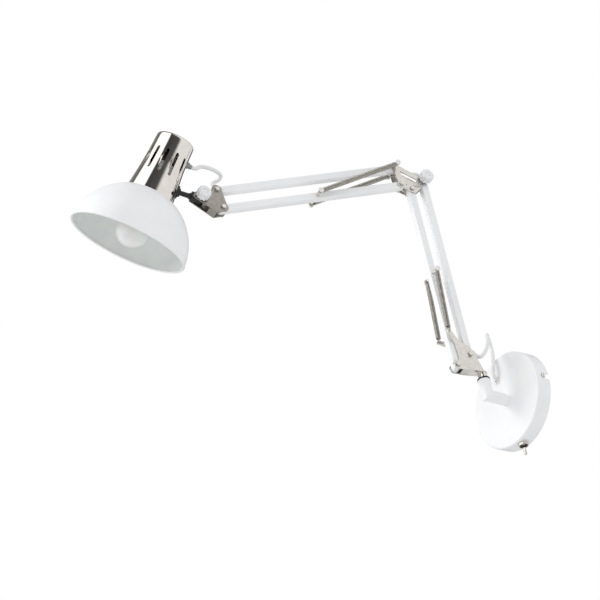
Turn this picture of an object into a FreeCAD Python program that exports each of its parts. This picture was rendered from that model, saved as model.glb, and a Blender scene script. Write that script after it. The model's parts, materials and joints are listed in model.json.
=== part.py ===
"""Swing arm wall sconce: a spring balanced double parallelogram lamp on a round canopy.

The row frame has its origin on the wall, at the centre of the canopy's back face.
+Z is up, +X is to the right and the lamp reaches out along -Y.
The arm is drawn in its own upright plane: x is the reach from the swivel axis, y is
sideways with the screw heads and knobs on +y, and z is the height above the stub.
The head is drawn about the shade's own axis, with z up from the rim plane.
"""
import FreeCAD, Part
import math
import os

Vector = FreeCAD.Vector
Placement = FreeCAD.Placement
Rotation = FreeCAD.Rotation

X_AXIS = Vector(1, 0, 0)
Y_AXIS = Vector(0, 1, 0)
Z_AXIS = Vector(0, 0, 1)

# ---- Fits ---------------------------------------------------------------------------
RUNNING_FIT = 0.06
ROD_FIT = 0.1
SEAT_GAP = 0.05
OPEN_PIVOT_PLAY = 0.3

# ---- Lamp lead ------------------------------------------------------------------------
CORD_DIA = 5.4
CORD_HOLE_PLAY = 0.6
CORD_HOLE_INSET = 8.5
HEAD_HOLE_INSET = 3.0
ELBOW_CORD_START = 1.0

# ---- Canopy on the wall -----------------------------------------------------------
CANOPY_DIA = 138.0
CANOPY_DEPTH = 22.0
CANOPY_WALL = 1.5
CANOPY_EDGE_R = 3.0
STRAP_END_GAP = 13.0
STRAP_WIDTH = 22.0
STRAP_EAR_WIDTH = 13.2
STRAP_THICK = 2.0
STRAP_SLOT_SPACING = 60.0
STRAP_SLOT_WIDTH = 5.0
STRAP_SLOT_LENGTH = 14.0
STRAP_HOLE_DIA = 15.0
COVER_SCREW_Y = 10.0
COVER_SCREW_DIA = 4.0
COVER_SCREW_HEAD_DIA = 7.0
COVER_SCREW_HEAD_THICK = 2.6
SCREW_GROOVE_WIDTH = 1.0
SCREW_GROOVE_DEPTH = 1.2
KEYHOLE_DIA = 8.4
SWITCH_HOLE_DIA = 12.0
SWITCH_NECK_PLAY = 0.1
SWITCH_COLLAR_DIA = 14.0
SWITCH_COLLAR_THICK = 4.0
SWITCH_BODY = (14.0, 13.0, 20.0)
SWITCH_BODY_INSET = 4.0
TOGGLE_DIA = 4.0
TOGGLE_LENGTH = 15.0
TERMINAL_SIZE = (30.0, 12.0, 12.0)
TERMINAL_FOOT = (12.0, 12.0, 6.0)
TERMINAL_UP = 8.0
TERMINAL_HOLE_R = 1.8
TERMINAL_PITCH = 10.0
GROMMET_PLACE = (-8.0, 37.0)
GROMMET_WALL = 1.9
GROMMET_HEAD_EDGE = 1.0
GROMMET_HEAD_THICK = 1.5
GROMMET_LIP_THICK = 2.0

# ---- Stub and swivel --------------------------------------------------------------
SWIVEL_REACH = 55.0
SWIVEL_REST_DEG = -9.9
STUB_DIA = 17.0
STUB_TAIL_DIA = 15.0
STUB_BORE_DIA = 11.0
STUB_BORE_STOP = 14.0
STUB_BACK = 12.0
STUB_NUT_RIM = 4.0
STUB_NUT_THICK = 3.5
BARREL_TOP = 25.0
BARREL_FLOOR = 6.0
SWIVEL_PIN_DIA = 10.0
SWIVEL_PIN_END_GAP = 2.0
SWIVEL_COLLAR_RIM = 1.25
SWIVEL_WASHER_THICK = 2.4
SWIVEL_WASHER_RIM = 0.4

# ---- Bars, plates and pivots --------------------------------------------------------
BAR_SIZE = 10.0
BAR_WALL = 1.5
BAR_OVERHANG = 6.5
PLUG_DEPTH = 12.0
PLATE_THICK = 1.4
WASHER_THICK = 0.6
PIVOT_DIA = 4.0
PIVOT_HEAD_DIA = 6.6
PIVOT_HEAD_THICK = 2.4
PIVOT_HEAD_ROUND = 0.9
WASHER_DIA = 9.0
OUTER_WASHER_DIA = 7.4
SPRING_PIN_DIA = 4.0
SPRING_SIDE = 15.0
PIN_END = 2.2
PIN_CAP_DIA = 8.0
PIN_CAP_THICK = 1.8

# ---- Arm linkage at rest (reach, height above the stub) -----------------------------
FRONT_FOOT = (40.0, 43.8)
REAR_FROM_FRONT = (-24.0, 19.4)
LOWER_ARM_LENGTH = 304.0
LOWER_ARM_DEG = 89.2
TOP_PIVOT_FROM_KNEE = (20.4, 36.0)
HEAD_PIVOT_DROP = (-4.8, -29.8)
UPPER_ARM_LENGTH = 308.0
UPPER_ARM_DEG = -15.8
SPRING_EAR = (47.1, 93.0)
LOWER_PIN_FROM_KNEE = 149.0
UPPER_PIN_FROM_KNEE = 148.0

# ---- Lower bracket --------------------------------------------------------------------
WEB_LOW = 36.0
WEB_REACH = 33.0
FRONT_LOBE_R = 7.0
REAR_LOBE_R = 9.0
EAR_ROOT = (34.5, 83.5)
EAR_ROOT_HALF = 5.5
EAR_SINK = 0.8
EAR_TIP_R = 3.8
EAR_HOLE_R = 1.5
EAR_BEND = (-0.6, 0.8)
LOWER_SIDE = [(0.0, WEB_LOW), (40.0, WEB_LOW + 1.0), (36.0, 57.0), (37.8, 79.1),
              (31.2, 87.9), (20.0, 78.0), (7.5, 68.0), (6.5, 58.0)]

# ---- Elbow plates (offsets from the knee) ---------------------------------------------
ELBOW_OUTLINE = [(15.0, 39.5), (-18.0, 22.5), (-27.0, 12.4), (-19.0, 6.7), (-10.6, -1.8),
                 (-4.3, -8.1), (19.6, 2.5), (24.2, 34.0)]
ELBOW_WINDOW = [(13.6, 29.1), (12.6, 19.9), (-6.8, 10.3), (-11.7, 16.4)]
ELBOW_TOP_LOBE_R = 6.0
ELBOW_LOW_LOBE_R = 7.0
ELBOW_SPACER = (-7.0, 6.5)
ELBOW_SPACER_R = 2.2
RIVET_STEP = 1.0
RIVET_HEAD_THICK = 0.7
ELBOW_EYELET = (9.0, 5.3)
ELBOW_EYELET_R = 1.3
STUD_SLEEVE_R = 3.2
STUD_SLEEVE_LENGTH = 2.0

# ---- Head bracket (offsets from the top bar's outer pivot) ------------------------------
HEAD_WEB_FROM = (6.8, -40.6)
HEAD_WEB_EDGE = (38.8, -16.9)
HEAD_WEB_LENGTH = 12.0
HEAD_OUTLINE = [(-6.5, 4.0), (-11.8, -31.5), (-3.0, -37.5), HEAD_WEB_FROM, HEAD_WEB_EDGE,
                (34.0, -9.0), (24.0, -8.5), (12.0, -12.5), (7.3, 2.0)]
HEAD_LOBE_R = 7.5
TILT_LOBE_R = 8.0

# ---- Springs ------------------------------------------------------------------------
SPRING_DIA = 7.0
SPRING_WIRE = 1.2
SPRING_LOOP_PLAY = 0.15
EAR_LOOP_R = 2.5

# ---- Clamp knobs ----------------------------------------------------------------------
KNOB_DIA = 20.0
KNOB_LENGTH = 11.0
KNOB_LOBES = 12
KNOB_LOBE_R = 1.9
KNOB_BASE_INSET = 2.0
KNOB_BODY_INSET = 1.2
KNOB_CROWN_R = 2.0
KNOB_LOBE_DROP = 1.6
KNOB_BASE_THICK = 1.6
KNOB_SEAT_GAP = 1.2

# ---- Head joint -----------------------------------------------------------------------
TILT_FROM_TOP_PIVOT = (25.5, -16.0)
TILT_NUT_ACROSS = 7.0
TILT_NUT_THICK = 2.6
TILT_SCREW_END = 0.8
ROD_DEG = 12.7
ROD_DIA = 7.0
ROD_TO_AXIS = 67.0
ROD_LEAN_DEG = 101.8
ROD_TIP_FROM_AXIS = 21.6
ROD_SHOULDER_LENGTH = 2.5
HEAD_TURN_DEG = -28.4
KNUCKLE_SIDE_GAP = 0.3
KNUCKLE_EYE_R = 6.6
KNUCKLE_BLOCK_END = 14.0
KNUCKLE_BLOCK_HALF = 5.2
ROD_FLANGE_DIA = 18.0
ROD_FLANGE_THICK = 2.2
ROD_FLANGE_HUB_DIA = 12.0
ROD_FLANGE_FROM_AXIS = 36.5
ROD_FLANGE_WITHIN_WALL = 10.5
ROD_NUT_R = 6.0
ROD_NUT_FROM_AXIS = 25.4
ROD_NUT_LENGTH = 8.6

# ---- Shade (radius and height above the rim) -------------------------------------------
SHADE_RADIUS = 85.0
SHADE_CENTRE_DROP = 3.0
SHADE_WALL = 1.2
SHADE_BEAD_R = 1.7
SHADE_BEAD_INSET = 0.5
SHADE_BEAD_DROP = 0.6
CROWN_FLAT_R = 35.35
SHADE_NECK_R = 20.6

# ---- Cup, lampholder and bulb (heights above the shade's crown) --------------------------
CUP_WALL = 1.0
CUP_FOOT_R = 34.0
CUP_MIDDLE = (31.2, 24.7)
CUP_WAIST = (28.6, 47.7)
CUP_SHOULDER_R = 27.2
CUP_HEIGHT = 87.7
CUP_TOP_CORNER_R = 4.0
CUP_SEAM_DEG = 90.0
CUTTER_SEAM_DEG = 30.0
ROD_ABOVE_CROWN = 16.2
SLOT_COUNT = 9
SLOT_FIRST_DEG = 70.0
SLOT_STEP_DEG = 30.0
SLOT_FROM = 28.7
SLOT_TO = 64.2
SLOT_WIDTH = 4.6
CUP_SCREW_DEG = (-45.0, 135.0)
CUP_SCREW_ABOVE_CROWN = 11.7
CUP_SCREW_R = 1.6
CUP_SCREW_HEAD_R = 2.6
CUP_SCREW_HEAD_THICK = 1.2
CUP_SCREW_HEAD_SEAT = 32.9
HOLDER_NECK_GAP = 1.0
HOLDER_BELOW_CROWN = 14.3
HOLDER_ABOVE_CROWN = 37.7
HOLDER_CONE = 12.0
HOLDER_CONE_IN = 6.0
HOLDER_STEM_R = 6.0
HOLDER_COLLAR_RIM = 4.0
HOLDER_COLLAR_THICK = 2.5
SHADE_RING_RIM = 5.0
SHADE_RING_HEIGHT = 7.0
SOCKET_R = 13.6
SOCKET_DEPTH = 26.0
BULB_R = 23.5
BULB_CENTRE_DROP = 42.0
BULB_NECK_FROM = 15.0
BULB_CAP_R = 13.0
BULB_CAP_LENGTH = 23.0
BULB_TIP_R = 4.5
BULB_TIP_LENGTH = 4.0
GLAND_ABOVE_CROWN = 63.7
GLAND_WALL = 1.9
GLAND_NECK_STEP = 1.2
GLAND_BASE_THICK = 3.0
GLAND_STEP = 5.0
GLAND_STEP_RIM = 0.8
GLAND_END_RIM = 0.5
GLAND_WALL_INSET = 0.95


# ---------------------------------------------------------------------------------------
# Small helpers
# ---------------------------------------------------------------------------------------
def rod_between(start, end, radius):
    """A round bar from one point to another."""
    return Part.makeCylinder(radius, (end - start).Length, start, end - start)


def ring_between(start, end, outer, inner):
    """A tube from one point to another."""
    return rod_between(start, end, outer).cut(rod_between(start, end, inner))


def cross_pin(place, radius, low, high):
    """A round bar across the arm at (reach, height), between two sideways places."""
    return rod_between(Vector(place[0], low, place[1]), Vector(place[0], high, place[1]), radius)


def cross_ring(place, outer, inner, low, high):
    """A washer or sleeve across the arm."""
    return cross_pin(place, outer, low, high).cut(cross_pin(place, inner, low, high))


def plus(a, b):
    """Sum of two (reach, height) pairs."""
    return (a[0] + b[0], a[1] + b[1])


def along(start, degrees, distance):
    """The (reach, height) point a distance away at an angle above the horizontal."""
    angle = math.radians(degrees)
    return (start[0] + distance * math.cos(angle), start[1] + distance * math.sin(angle))


def arm_point(place, side=0.0):
    """A (reach, height) pair as a point of the arm frame."""
    return Vector(place[0], side, place[1])


def prism(outline, low, high):
    """A flat plate with the given (reach, height) outline, between two sideways places."""
    points = [Vector(x, low, z) for x, z in outline]
    face = Part.Face(Part.makePolygon(points + points[:1]))
    return face.extrude(Vector(0, high - low, 0))


def mirrored(shape):
    """The same shape on the other side of the arm."""
    return shape.mirror(Vector(0, 0, 0), Y_AXIS)


def both_sides(shape):
    """The near shape and its far twin."""
    return [shape, mirrored(shape)]


def joined(shapes):
    """One solid from touching or overlapping shapes."""
    return shapes[0].multiFuse(shapes[1:]).removeSplitter()


def revolved(edges):
    """A solid of revolution about z from the edges of a closed outline in the xz plane."""
    return Part.Face(Part.Wire(edges)).revolve(Vector(0, 0, 0), Z_AXIS, 360)


def export(name, shape, placement=None):
    """Write one node, moved into the row frame."""
    if isinstance(shape, list):
        shape = Part.makeCompound(shape)
    if placement is not None:
        shape = shape.transformed(placement.toMatrix())
    if not shape.isValid():
        raise ValueError(name + " is not a valid shape")
    shape.exportStep("parts/" + name + ".step")
    volume = sum(solid.Volume for solid in shape.Solids)
    print(f"{name:24s} {len(shape.Solids):2d} solids {volume / 1000:9.3f} cm3")


# ---------------------------------------------------------------------------------------
# Places worked out from the sizes
# ---------------------------------------------------------------------------------------
ARM = Placement(Vector(0, -SWIVEL_REACH, 0), Rotation(Z_AXIS, SWIVEL_REST_DEG - 90.0))

FRONT_PIVOT = FRONT_FOOT
REAR_PIVOT = plus(FRONT_PIVOT, REAR_FROM_FRONT)
KNEE = along(FRONT_PIVOT, LOWER_ARM_DEG, LOWER_ARM_LENGTH)
REAR_KNEE = plus(KNEE, REAR_FROM_FRONT)
TOP_PIVOT = plus(KNEE, TOP_PIVOT_FROM_KNEE)
LOW_TOP_PIVOT = plus(TOP_PIVOT, HEAD_PIVOT_DROP)
HEAD_TOP = along(TOP_PIVOT, UPPER_ARM_DEG, UPPER_ARM_LENGTH)
HEAD_LOW = plus(HEAD_TOP, HEAD_PIVOT_DROP)
TILT = plus(HEAD_TOP, TILT_FROM_TOP_PIVOT)
LOWER_PIN = along(KNEE, LOWER_ARM_DEG + 180.0, LOWER_PIN_FROM_KNEE)
UPPER_PIN = along(LOW_TOP_PIVOT, UPPER_ARM_DEG, UPPER_PIN_FROM_KNEE)

HALF_BAR = BAR_SIZE / 2
PLATE_INNER = HALF_BAR + WASHER_THICK
PLATE_OUTER = PLATE_INNER + PLATE_THICK
PIN_HALF = SPRING_SIDE + PIN_END
PIN_LOOP_R = SPRING_PIN_DIA / 2 + SPRING_WIRE / 2 + SPRING_LOOP_PLAY
HOOK_ROOM = 1.5 * SPRING_WIRE
COLLAR_LOW = BARREL_TOP + SWIVEL_WASHER_THICK
STRAP_EAR_X = CANOPY_DIA / 2 - STRAP_END_GAP
SWITCH_SEAT = Vector(0, -CANOPY_DEPTH / 2, -CANOPY_DIA / 2)
GROMMET = Vector(GROMMET_PLACE[0], 0, GROMMET_PLACE[1])
GROMMET_NECK_R = CORD_DIA / 2 + GROMMET_WALL
GROMMET_HEAD_R = GROMMET_NECK_R + GROMMET_HEAD_EDGE
CORD_HOLE_R = CORD_DIA / 2 + CORD_HOLE_PLAY

SHADE_CROWN = math.sqrt(SHADE_RADIUS ** 2 - CROWN_FLAT_R ** 2) - SHADE_CENTRE_DROP
CUP_TOP = SHADE_CROWN + CUP_HEIGHT
ROD_HEIGHT = SHADE_CROWN + ROD_ABOVE_CROWN
SLOT_LOW = SHADE_CROWN + SLOT_FROM
SLOT_HIGH = SHADE_CROWN + SLOT_TO
CUP_SCREW_HEIGHT = SHADE_CROWN + CUP_SCREW_ABOVE_CROWN
HOLDER_R = SHADE_NECK_R - HOLDER_NECK_GAP
HOLDER_MOUTH = SHADE_CROWN - HOLDER_BELOW_CROWN
HOLDER_TOP = SHADE_CROWN + HOLDER_ABOVE_CROWN
BULB_CENTRE = HOLDER_MOUTH - BULB_CENTRE_DROP
GLAND_R = CORD_DIA / 2 + GLAND_WALL
GLAND_HEIGHT = SHADE_CROWN + GLAND_ABOVE_CROWN
GLAND_SEAT = CUP_WAIST[0] - GLAND_WALL_INSET
GLAND_END = Vector(GLAND_SEAT + GLAND_BASE_THICK + GLAND_STEP, 0, GLAND_HEIGHT)
ROD_DIRECTION = Vector(math.cos(math.radians(ROD_DEG)), 0, math.sin(math.radians(ROD_DEG)))


def head_placement():
    """Where the head's own frame sits in the arm frame."""
    lean = math.radians(ROD_DEG + ROD_LEAN_DEG)
    axis_up = Vector(math.cos(lean), 0, math.sin(lean))
    toward_arm = (ROD_DIRECTION - axis_up * ROD_DIRECTION.dot(axis_up)) * -1
    toward_arm.normalize()
    upright = Rotation(toward_arm, axis_up.cross(toward_arm), axis_up, "ZXY")
    turn = Rotation(ROD_DIRECTION, HEAD_TURN_DEG)
    rotation = turn.multiply(upright)
    crossing = arm_point(TILT) + ROD_DIRECTION * ROD_TO_AXIS
    rim_centre = crossing - rotation.multVec(Z_AXIS) * ROD_HEIGHT
    return Placement(rim_centre, rotation)


HEAD = head_placement()
ROD_IN_HEAD = HEAD.Rotation.inverted().multVec(ROD_DIRECTION * -1)
TILT_IN_HEAD = HEAD.inverse().multVec(arm_point(TILT))


# ---------------------------------------------------------------------------------------
# Canopy, strap, switch and stub
# ---------------------------------------------------------------------------------------
def canopy():
    """Round cover with rounded front edge, open at the wall, with its holes."""
    radius = CANOPY_DIA / 2
    body = Part.makeCylinder(radius, CANOPY_DEPTH, Vector(0, 0, 0), Vector(0, -1, 0))
    front = [e for e in body.Edges if abs(e.BoundBox.YMax + CANOPY_DEPTH) < 0.01]
    body = body.makeFillet(CANOPY_EDGE_R, front)
    inside = Part.makeCylinder(radius - CANOPY_WALL, CANOPY_DEPTH - CANOPY_WALL + 1.0,
                               Vector(0, 1.0, 0), Vector(0, -1, 0))
    front = [e for e in inside.Edges if abs(e.BoundBox.YMax + CANOPY_DEPTH - CANOPY_WALL) < 0.01]
    inside = inside.makeFillet(CANOPY_EDGE_R - CANOPY_WALL, front)
    shell = body.cut(inside)
    stub_hole = Part.makeCylinder(STUB_TAIL_DIA / 2, CANOPY_DEPTH * 2, Vector(0, 0, 0), Vector(0, -1, 0))
    grommet_hole = Part.makeCylinder(GROMMET_NECK_R, CANOPY_DEPTH * 2, GROMMET, Vector(0, -1, 0))
    switch_hole = rod_between(SWITCH_SEAT + Z_AXIS * 6, SWITCH_SEAT - Z_AXIS * 6, SWITCH_HOLE_DIA / 2)
    shell = shell.cut(stub_hole).cut(grommet_hole).cut(switch_hole)
    for side in (-1, 1):
        shell = shell.cut(keyhole(side))
    return shell


def keyhole(side):
    """Slot in the canopy's rim that a cover screw slides into from the wall side."""
    inner = CANOPY_DIA / 2 - 4 * CANOPY_WALL
    outer = CANOPY_DIA / 2 + CANOPY_WALL
    low = Vector(side * inner, -COVER_SCREW_Y, 0)
    high = Vector(side * outer, -COVER_SCREW_Y, 0)
    round_end = rod_between(low, high, KEYHOLE_DIA / 2)
    mouth = Part.makeBox(outer - inner, COVER_SCREW_Y + 1, KEYHOLE_DIA,
                         Vector(min(side * inner, side * outer), -COVER_SCREW_Y, -KEYHOLE_DIA / 2))
    return round_end.fuse(mouth)


def strap():
    """Wall strap with two slots, a cable hole and turned ends for the cover screws."""
    ear_depth = COVER_SCREW_Y + COVER_SCREW_DIA + STRAP_THICK / 2
    flat = Part.makeBox(2 * STRAP_EAR_X, STRAP_THICK, STRAP_WIDTH,
                        Vector(-STRAP_EAR_X, -STRAP_THICK, -STRAP_WIDTH / 2))
    ear = Part.makeBox(STRAP_THICK, ear_depth, STRAP_EAR_WIDTH,
                       Vector(STRAP_EAR_X - STRAP_THICK, -ear_depth, -STRAP_EAR_WIDTH / 2))
    body = joined([flat, ear, ear.mirror(Vector(0, 0, 0), X_AXIS)])
    hole = Part.makeCylinder(STRAP_HOLE_DIA / 2, STRAP_THICK * 3, Vector(0, 1, 0), Vector(0, -1, 0))
    body = body.cut(hole)
    half = (STRAP_SLOT_LENGTH - STRAP_SLOT_WIDTH) / 2
    for side in (-1, 1):
        centre = side * STRAP_SLOT_SPACING / 2
        ends = [Part.makeCylinder(STRAP_SLOT_WIDTH / 2, STRAP_THICK * 3,
                                  Vector(centre + dx, 1, 0), Vector(0, -1, 0)) for dx in (-half, half)]
        middle = Part.makeBox(2 * half, STRAP_THICK * 3, STRAP_SLOT_WIDTH,
                              Vector(centre - half, 1 - STRAP_THICK * 3, -STRAP_SLOT_WIDTH / 2))
        screw = rod_between(Vector(side * STRAP_EAR_X / 2, -COVER_SCREW_Y, 0),
                            Vector(side * (STRAP_EAR_X + 2), -COVER_SCREW_Y, 0),
                            COVER_SCREW_DIA / 2 + RUNNING_FIT)
        body = body.cut(joined(ends + [middle])).cut(screw)
    return body


def cover_screws():
    """Two screws through the rim that hold the canopy on the strap's turned ends."""
    screws = []
    seat = CANOPY_DIA / 2 - CANOPY_WALL - 0.4
    for side in (-1, 1):
        shank = rod_between(Vector(side * (STRAP_EAR_X - 5), -COVER_SCREW_Y, 0),
                            Vector(side * seat, -COVER_SCREW_Y, 0), COVER_SCREW_DIA / 2)
        face = seat + COVER_SCREW_HEAD_THICK
        head = rod_between(Vector(side * seat, -COVER_SCREW_Y, 0),
                           Vector(side * face, -COVER_SCREW_Y, 0), COVER_SCREW_HEAD_DIA / 2)
        groove = Part.makeBox(2 * SCREW_GROOVE_DEPTH, SCREW_GROOVE_WIDTH, COVER_SCREW_HEAD_DIA,
                              Vector(side * face - SCREW_GROOVE_DEPTH,
                                     -COVER_SCREW_Y - SCREW_GROOVE_WIDTH / 2, -COVER_SCREW_HEAD_DIA / 2))
        screws.append(joined([shank, head]).cut(groove))
    return screws


def stub():
    """Stub tube mitred to the upright barrel, stepped down where it passes the canopy."""
    radius = STUB_DIA / 2
    reach = SWIVEL_REACH
    lying = Part.makeCylinder(radius, reach + STUB_DIA, Vector(0, -CANOPY_DEPTH, 0), Vector(0, -1, 0))
    tail = Part.makeCylinder(STUB_TAIL_DIA / 2, CANOPY_DEPTH, Vector(0, -STUB_BACK, 0), Vector(0, -1, 0))
    standing = Part.makeCylinder(radius, BARREL_TOP + STUB_DIA, Vector(0, -reach, -STUB_DIA), Z_AXIS)
    wedge = Part.makeBox(200, 200, 200, Vector(-100, 0, -100))
    wedge.rotate(Vector(0, 0, 0), X_AXIS, -45)
    wedge.translate(Vector(0, -reach, 0))
    body = joined([lying.common(wedge), tail, standing.cut(wedge)])
    wire_way = Part.makeCylinder(STUB_BORE_DIA / 2, reach - STUB_BORE_STOP,
                                Vector(0, 0, 0), Vector(0, -1, 0))
    swivel_bore = Part.makeCylinder(SWIVEL_PIN_DIA / 2 + RUNNING_FIT, BARREL_TOP,
                                    Vector(0, -reach, BARREL_FLOOR), Z_AXIS)
    return body.cut(wire_way).cut(swivel_bore)


def stub_nut():
    """Flat nut on the stub's tail, against the canopy's inner face."""
    nut = hexagon(STUB_TAIL_DIA + 2 * STUB_NUT_RIM, STUB_NUT_THICK)
    nut = nut.cut(Part.makeCylinder(STUB_TAIL_DIA / 2, 3 * STUB_NUT_THICK,
                                    Vector(0, 0, -STUB_NUT_THICK), Z_AXIS))
    nut.rotate(Vector(0, 0, 0), X_AXIS, -90)
    nut.translate(Vector(0, -CANOPY_DEPTH + CANOPY_WALL, 0))
    return nut


def hexagon(across_flats, thick):
    """Hexagonal prism on the xy plane, from z = 0 up."""
    radius = across_flats / math.sqrt(3)
    points = [Vector(radius * math.cos(math.radians(a)), radius * math.sin(math.radians(a)), 0)
              for a in range(0, 361, 60)]
    return Part.Face(Part.makePolygon(points)).extrude(Vector(0, 0, thick))


def switch_parts():
    """Switch body inside the rim, its collar outside, and the toggle lever."""
    seat = SWITCH_SEAT
    inner = seat + Z_AXIS * CANOPY_WALL
    width, depth, height = SWITCH_BODY
    neck_r = SWITCH_HOLE_DIA / 2 - SWITCH_NECK_PLAY
    box_low = inner + Z_AXIS * SWITCH_BODY_INSET
    box = Part.makeBox(width, depth, height, box_low - Vector(width / 2, depth / 2, 0))
    neck = rod_between(box_low, seat - Z_AXIS * SWITCH_COLLAR_THICK * 0.55, neck_r)
    pivot = seat - Z_AXIS
    ball_r = TOGGLE_DIA / 2 + 0.4
    bore = rod_between(inner + Z_AXIS, pivot, ball_r + RUNNING_FIT)
    swing = Part.makeCone(ball_r + RUNNING_FIT, ball_r + 1.6, 5.0, pivot, Vector(0, 0, -1))
    body = joined([box, neck]).cut(bore).cut(swing)
    collar = ring_between(seat - Z_AXIS * 0.2, seat - Z_AXIS * SWITCH_COLLAR_THICK,
                          SWITCH_COLLAR_DIA / 2, neck_r)
    tip = pivot - Z_AXIS * TOGGLE_LENGTH
    lever = joined([Part.makeSphere(ball_r, pivot),
                    Part.makeCone(TOGGLE_DIA / 2 - 0.5, TOGGLE_DIA / 2 + 0.2, TOGGLE_LENGTH,
                                  pivot, Vector(0, 0, -1)),
                    Part.makeSphere(TOGGLE_DIA / 2 + 0.3, tip)])
    return body, collar, lever


def terminal_block():
    """Terminal block on the strap, beside the cable hole."""
    width, depth, height = TERMINAL_SIZE
    foot_width, foot_depth, foot_height = TERMINAL_FOOT
    block_low = TERMINAL_UP + foot_height - 1
    block = Part.makeBox(width, depth, height, Vector(-width / 2, -STRAP_THICK - depth, block_low))
    foot = Part.makeBox(foot_width, foot_depth, foot_height,
                        Vector(-foot_width / 2, -STRAP_THICK - foot_depth, TERMINAL_UP))
    body = joined([block, foot])
    for i in (-1, 0, 1):
        start = Vector(i * TERMINAL_PITCH, -STRAP_THICK - depth - 1, block_low + height / 2)
        body = body.cut(Part.makeCylinder(TERMINAL_HOLE_R, depth * 2 / 3, start, Y_AXIS))
    return body


def canopy_grommet():
    """Cord bush in the canopy's face: head, neck and inner lip with a clear bore."""
    face = -CANOPY_DEPTH
    edge = GROMMET_HEAD_EDGE
    start = GROMMET + Y_AXIS * (face - GROMMET_HEAD_THICK)
    head = Part.makeCone(GROMMET_HEAD_R - edge, GROMMET_HEAD_R, GROMMET_HEAD_THICK, start, Y_AXIS)
    neck = Part.makeCylinder(GROMMET_NECK_R, CANOPY_WALL, GROMMET + Y_AXIS * face, Y_AXIS)
    lip = Part.makeCylinder(GROMMET_NECK_R + edge, GROMMET_LIP_THICK,
                            GROMMET + Y_AXIS * (face + CANOPY_WALL), Y_AXIS)
    bore_r = CORD_DIA / 2 + RUNNING_FIT
    bore = Part.makeCylinder(bore_r, CANOPY_DEPTH, start - Y_AXIS, Y_AXIS)
    flare = Part.makeCone(bore_r + edge / 2, bore_r, GROMMET_HEAD_THICK, start, Y_AXIS)
    return joined([head, neck, lip]).cut(bore).cut(flare)


# ---------------------------------------------------------------------------------------
# Bars
# ---------------------------------------------------------------------------------------
def bar(start, end):
    """Square tube with rounded cheeks, from pivot to pivot, and its pivot holes."""
    direction = Vector(end[0] - start[0], 0, end[1] - start[1])
    length = direction.Length
    centre = BAR_OVERHANG - HALF_BAR
    straight = Part.makeBox(length + 2 * centre, BAR_SIZE, BAR_SIZE,
                            Vector(-centre, -HALF_BAR, -HALF_BAR))
    ends = [cross_pin((x, 0), HALF_BAR, -HALF_BAR, HALF_BAR) for x in (-centre, length + centre)]
    inner = BAR_SIZE - 2 * BAR_WALL
    hollow = Part.makeBox(length + 40, inner, inner, Vector(-20, -inner / 2, -inner / 2))
    body = joined([straight] + ends).cut(hollow)
    for x in (0, length):
        body = body.cut(cross_pin((x, 0), PIVOT_DIA / 2 + RUNNING_FIT, -BAR_SIZE, BAR_SIZE))
    return body, bar_placement(start, direction)


def bar_placement(start, direction):
    """Places a bar drawn along x at its first pivot."""
    angle = math.degrees(math.atan2(direction.z, direction.x))
    return Placement(arm_point(start), Rotation(Y_AXIS, -angle))


def plugs(length):
    """Moulded plugs that close both ends of a bar, drawn along x."""
    inner = HALF_BAR - BAR_WALL
    centre = BAR_OVERHANG - HALF_BAR
    depth = PLUG_DEPTH
    pieces = []
    for x, inward in ((0.0, 1), (length, -1)):
        low = min(x, x + inward * depth)
        block = Part.makeBox(depth, 2 * inner, 2 * inner, Vector(low, -inner, -inner))
        nose = cross_pin((x - inward * centre, 0), inner, -inner, inner)
        fill = Part.makeBox(centre + 0.5, 2 * inner, 2 * inner,
                            Vector(min(x + inward * 0.5, x - inward * centre), -inner, -inner))
        piece = joined([block, nose, fill])
        pieces.append(piece.cut(cross_pin((x, 0), PIVOT_DIA / 2 + RUNNING_FIT, -BAR_SIZE, BAR_SIZE)))
    return pieces


def moved(shape, placement):
    """Copy of a shape or list of shapes in another place."""
    if isinstance(shape, list):
        return [s.transformed(placement.toMatrix()) for s in shape]
    return shape.transformed(placement.toMatrix())


def pin_hole(place):
    """Cutter for a spring pin's hole through a bar."""
    return cross_pin(place, SPRING_PIN_DIA / 2, -BAR_SIZE, BAR_SIZE)


def open_hole(place):
    """Cutter that opens the pivot left free in the linkage."""
    return cross_pin(place, PIVOT_DIA / 2 + OPEN_PIVOT_PLAY, -BAR_SIZE, BAR_SIZE)


# ---------------------------------------------------------------------------------------
# Pivot screws, washers, pins, springs and knobs
# ---------------------------------------------------------------------------------------
def pivot_screw(place):
    """Shouldered screw from outside the near plate into the bar's cheek."""
    tip = HALF_BAR - BAR_WALL
    shank = cross_pin(place, PIVOT_DIA / 2, tip, PLATE_OUTER)
    seat = PLATE_OUTER + WASHER_THICK
    collar = cross_pin(place, PIVOT_DIA / 2, PLATE_OUTER, seat)
    head = cross_pin(place, PIVOT_HEAD_DIA / 2, seat, seat + PIVOT_HEAD_THICK)
    rim = [e for e in head.Edges if abs(e.BoundBox.YMin - seat - PIVOT_HEAD_THICK) < 0.01]
    head = head.makeFillet(PIVOT_HEAD_ROUND, rim)
    groove = Part.makeBox(PIVOT_HEAD_DIA, 1.2, 0.9,
                          Vector(place[0] - PIVOT_HEAD_DIA / 2, seat + PIVOT_HEAD_THICK - 1.0,
                                 place[1] - 0.45))
    groove.rotate(arm_point(place), Y_AXIS, 50)
    return joined([shank, collar, head]).cut(groove)


def pivot_washers(place):
    """Washer between bar and plate, and one under the screw's head."""
    bore = PIVOT_DIA / 2
    return [cross_ring(place, WASHER_DIA / 2, bore + RUNNING_FIT, HALF_BAR, PLATE_INNER),
            cross_ring(place, OUTER_WASHER_DIA / 2, bore, PLATE_OUTER, PLATE_OUTER + WASHER_THICK)]


def screws_at(places):
    """Screws at each place, near and far."""
    return [s for place in places for s in both_sides(pivot_screw(place))]


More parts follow.
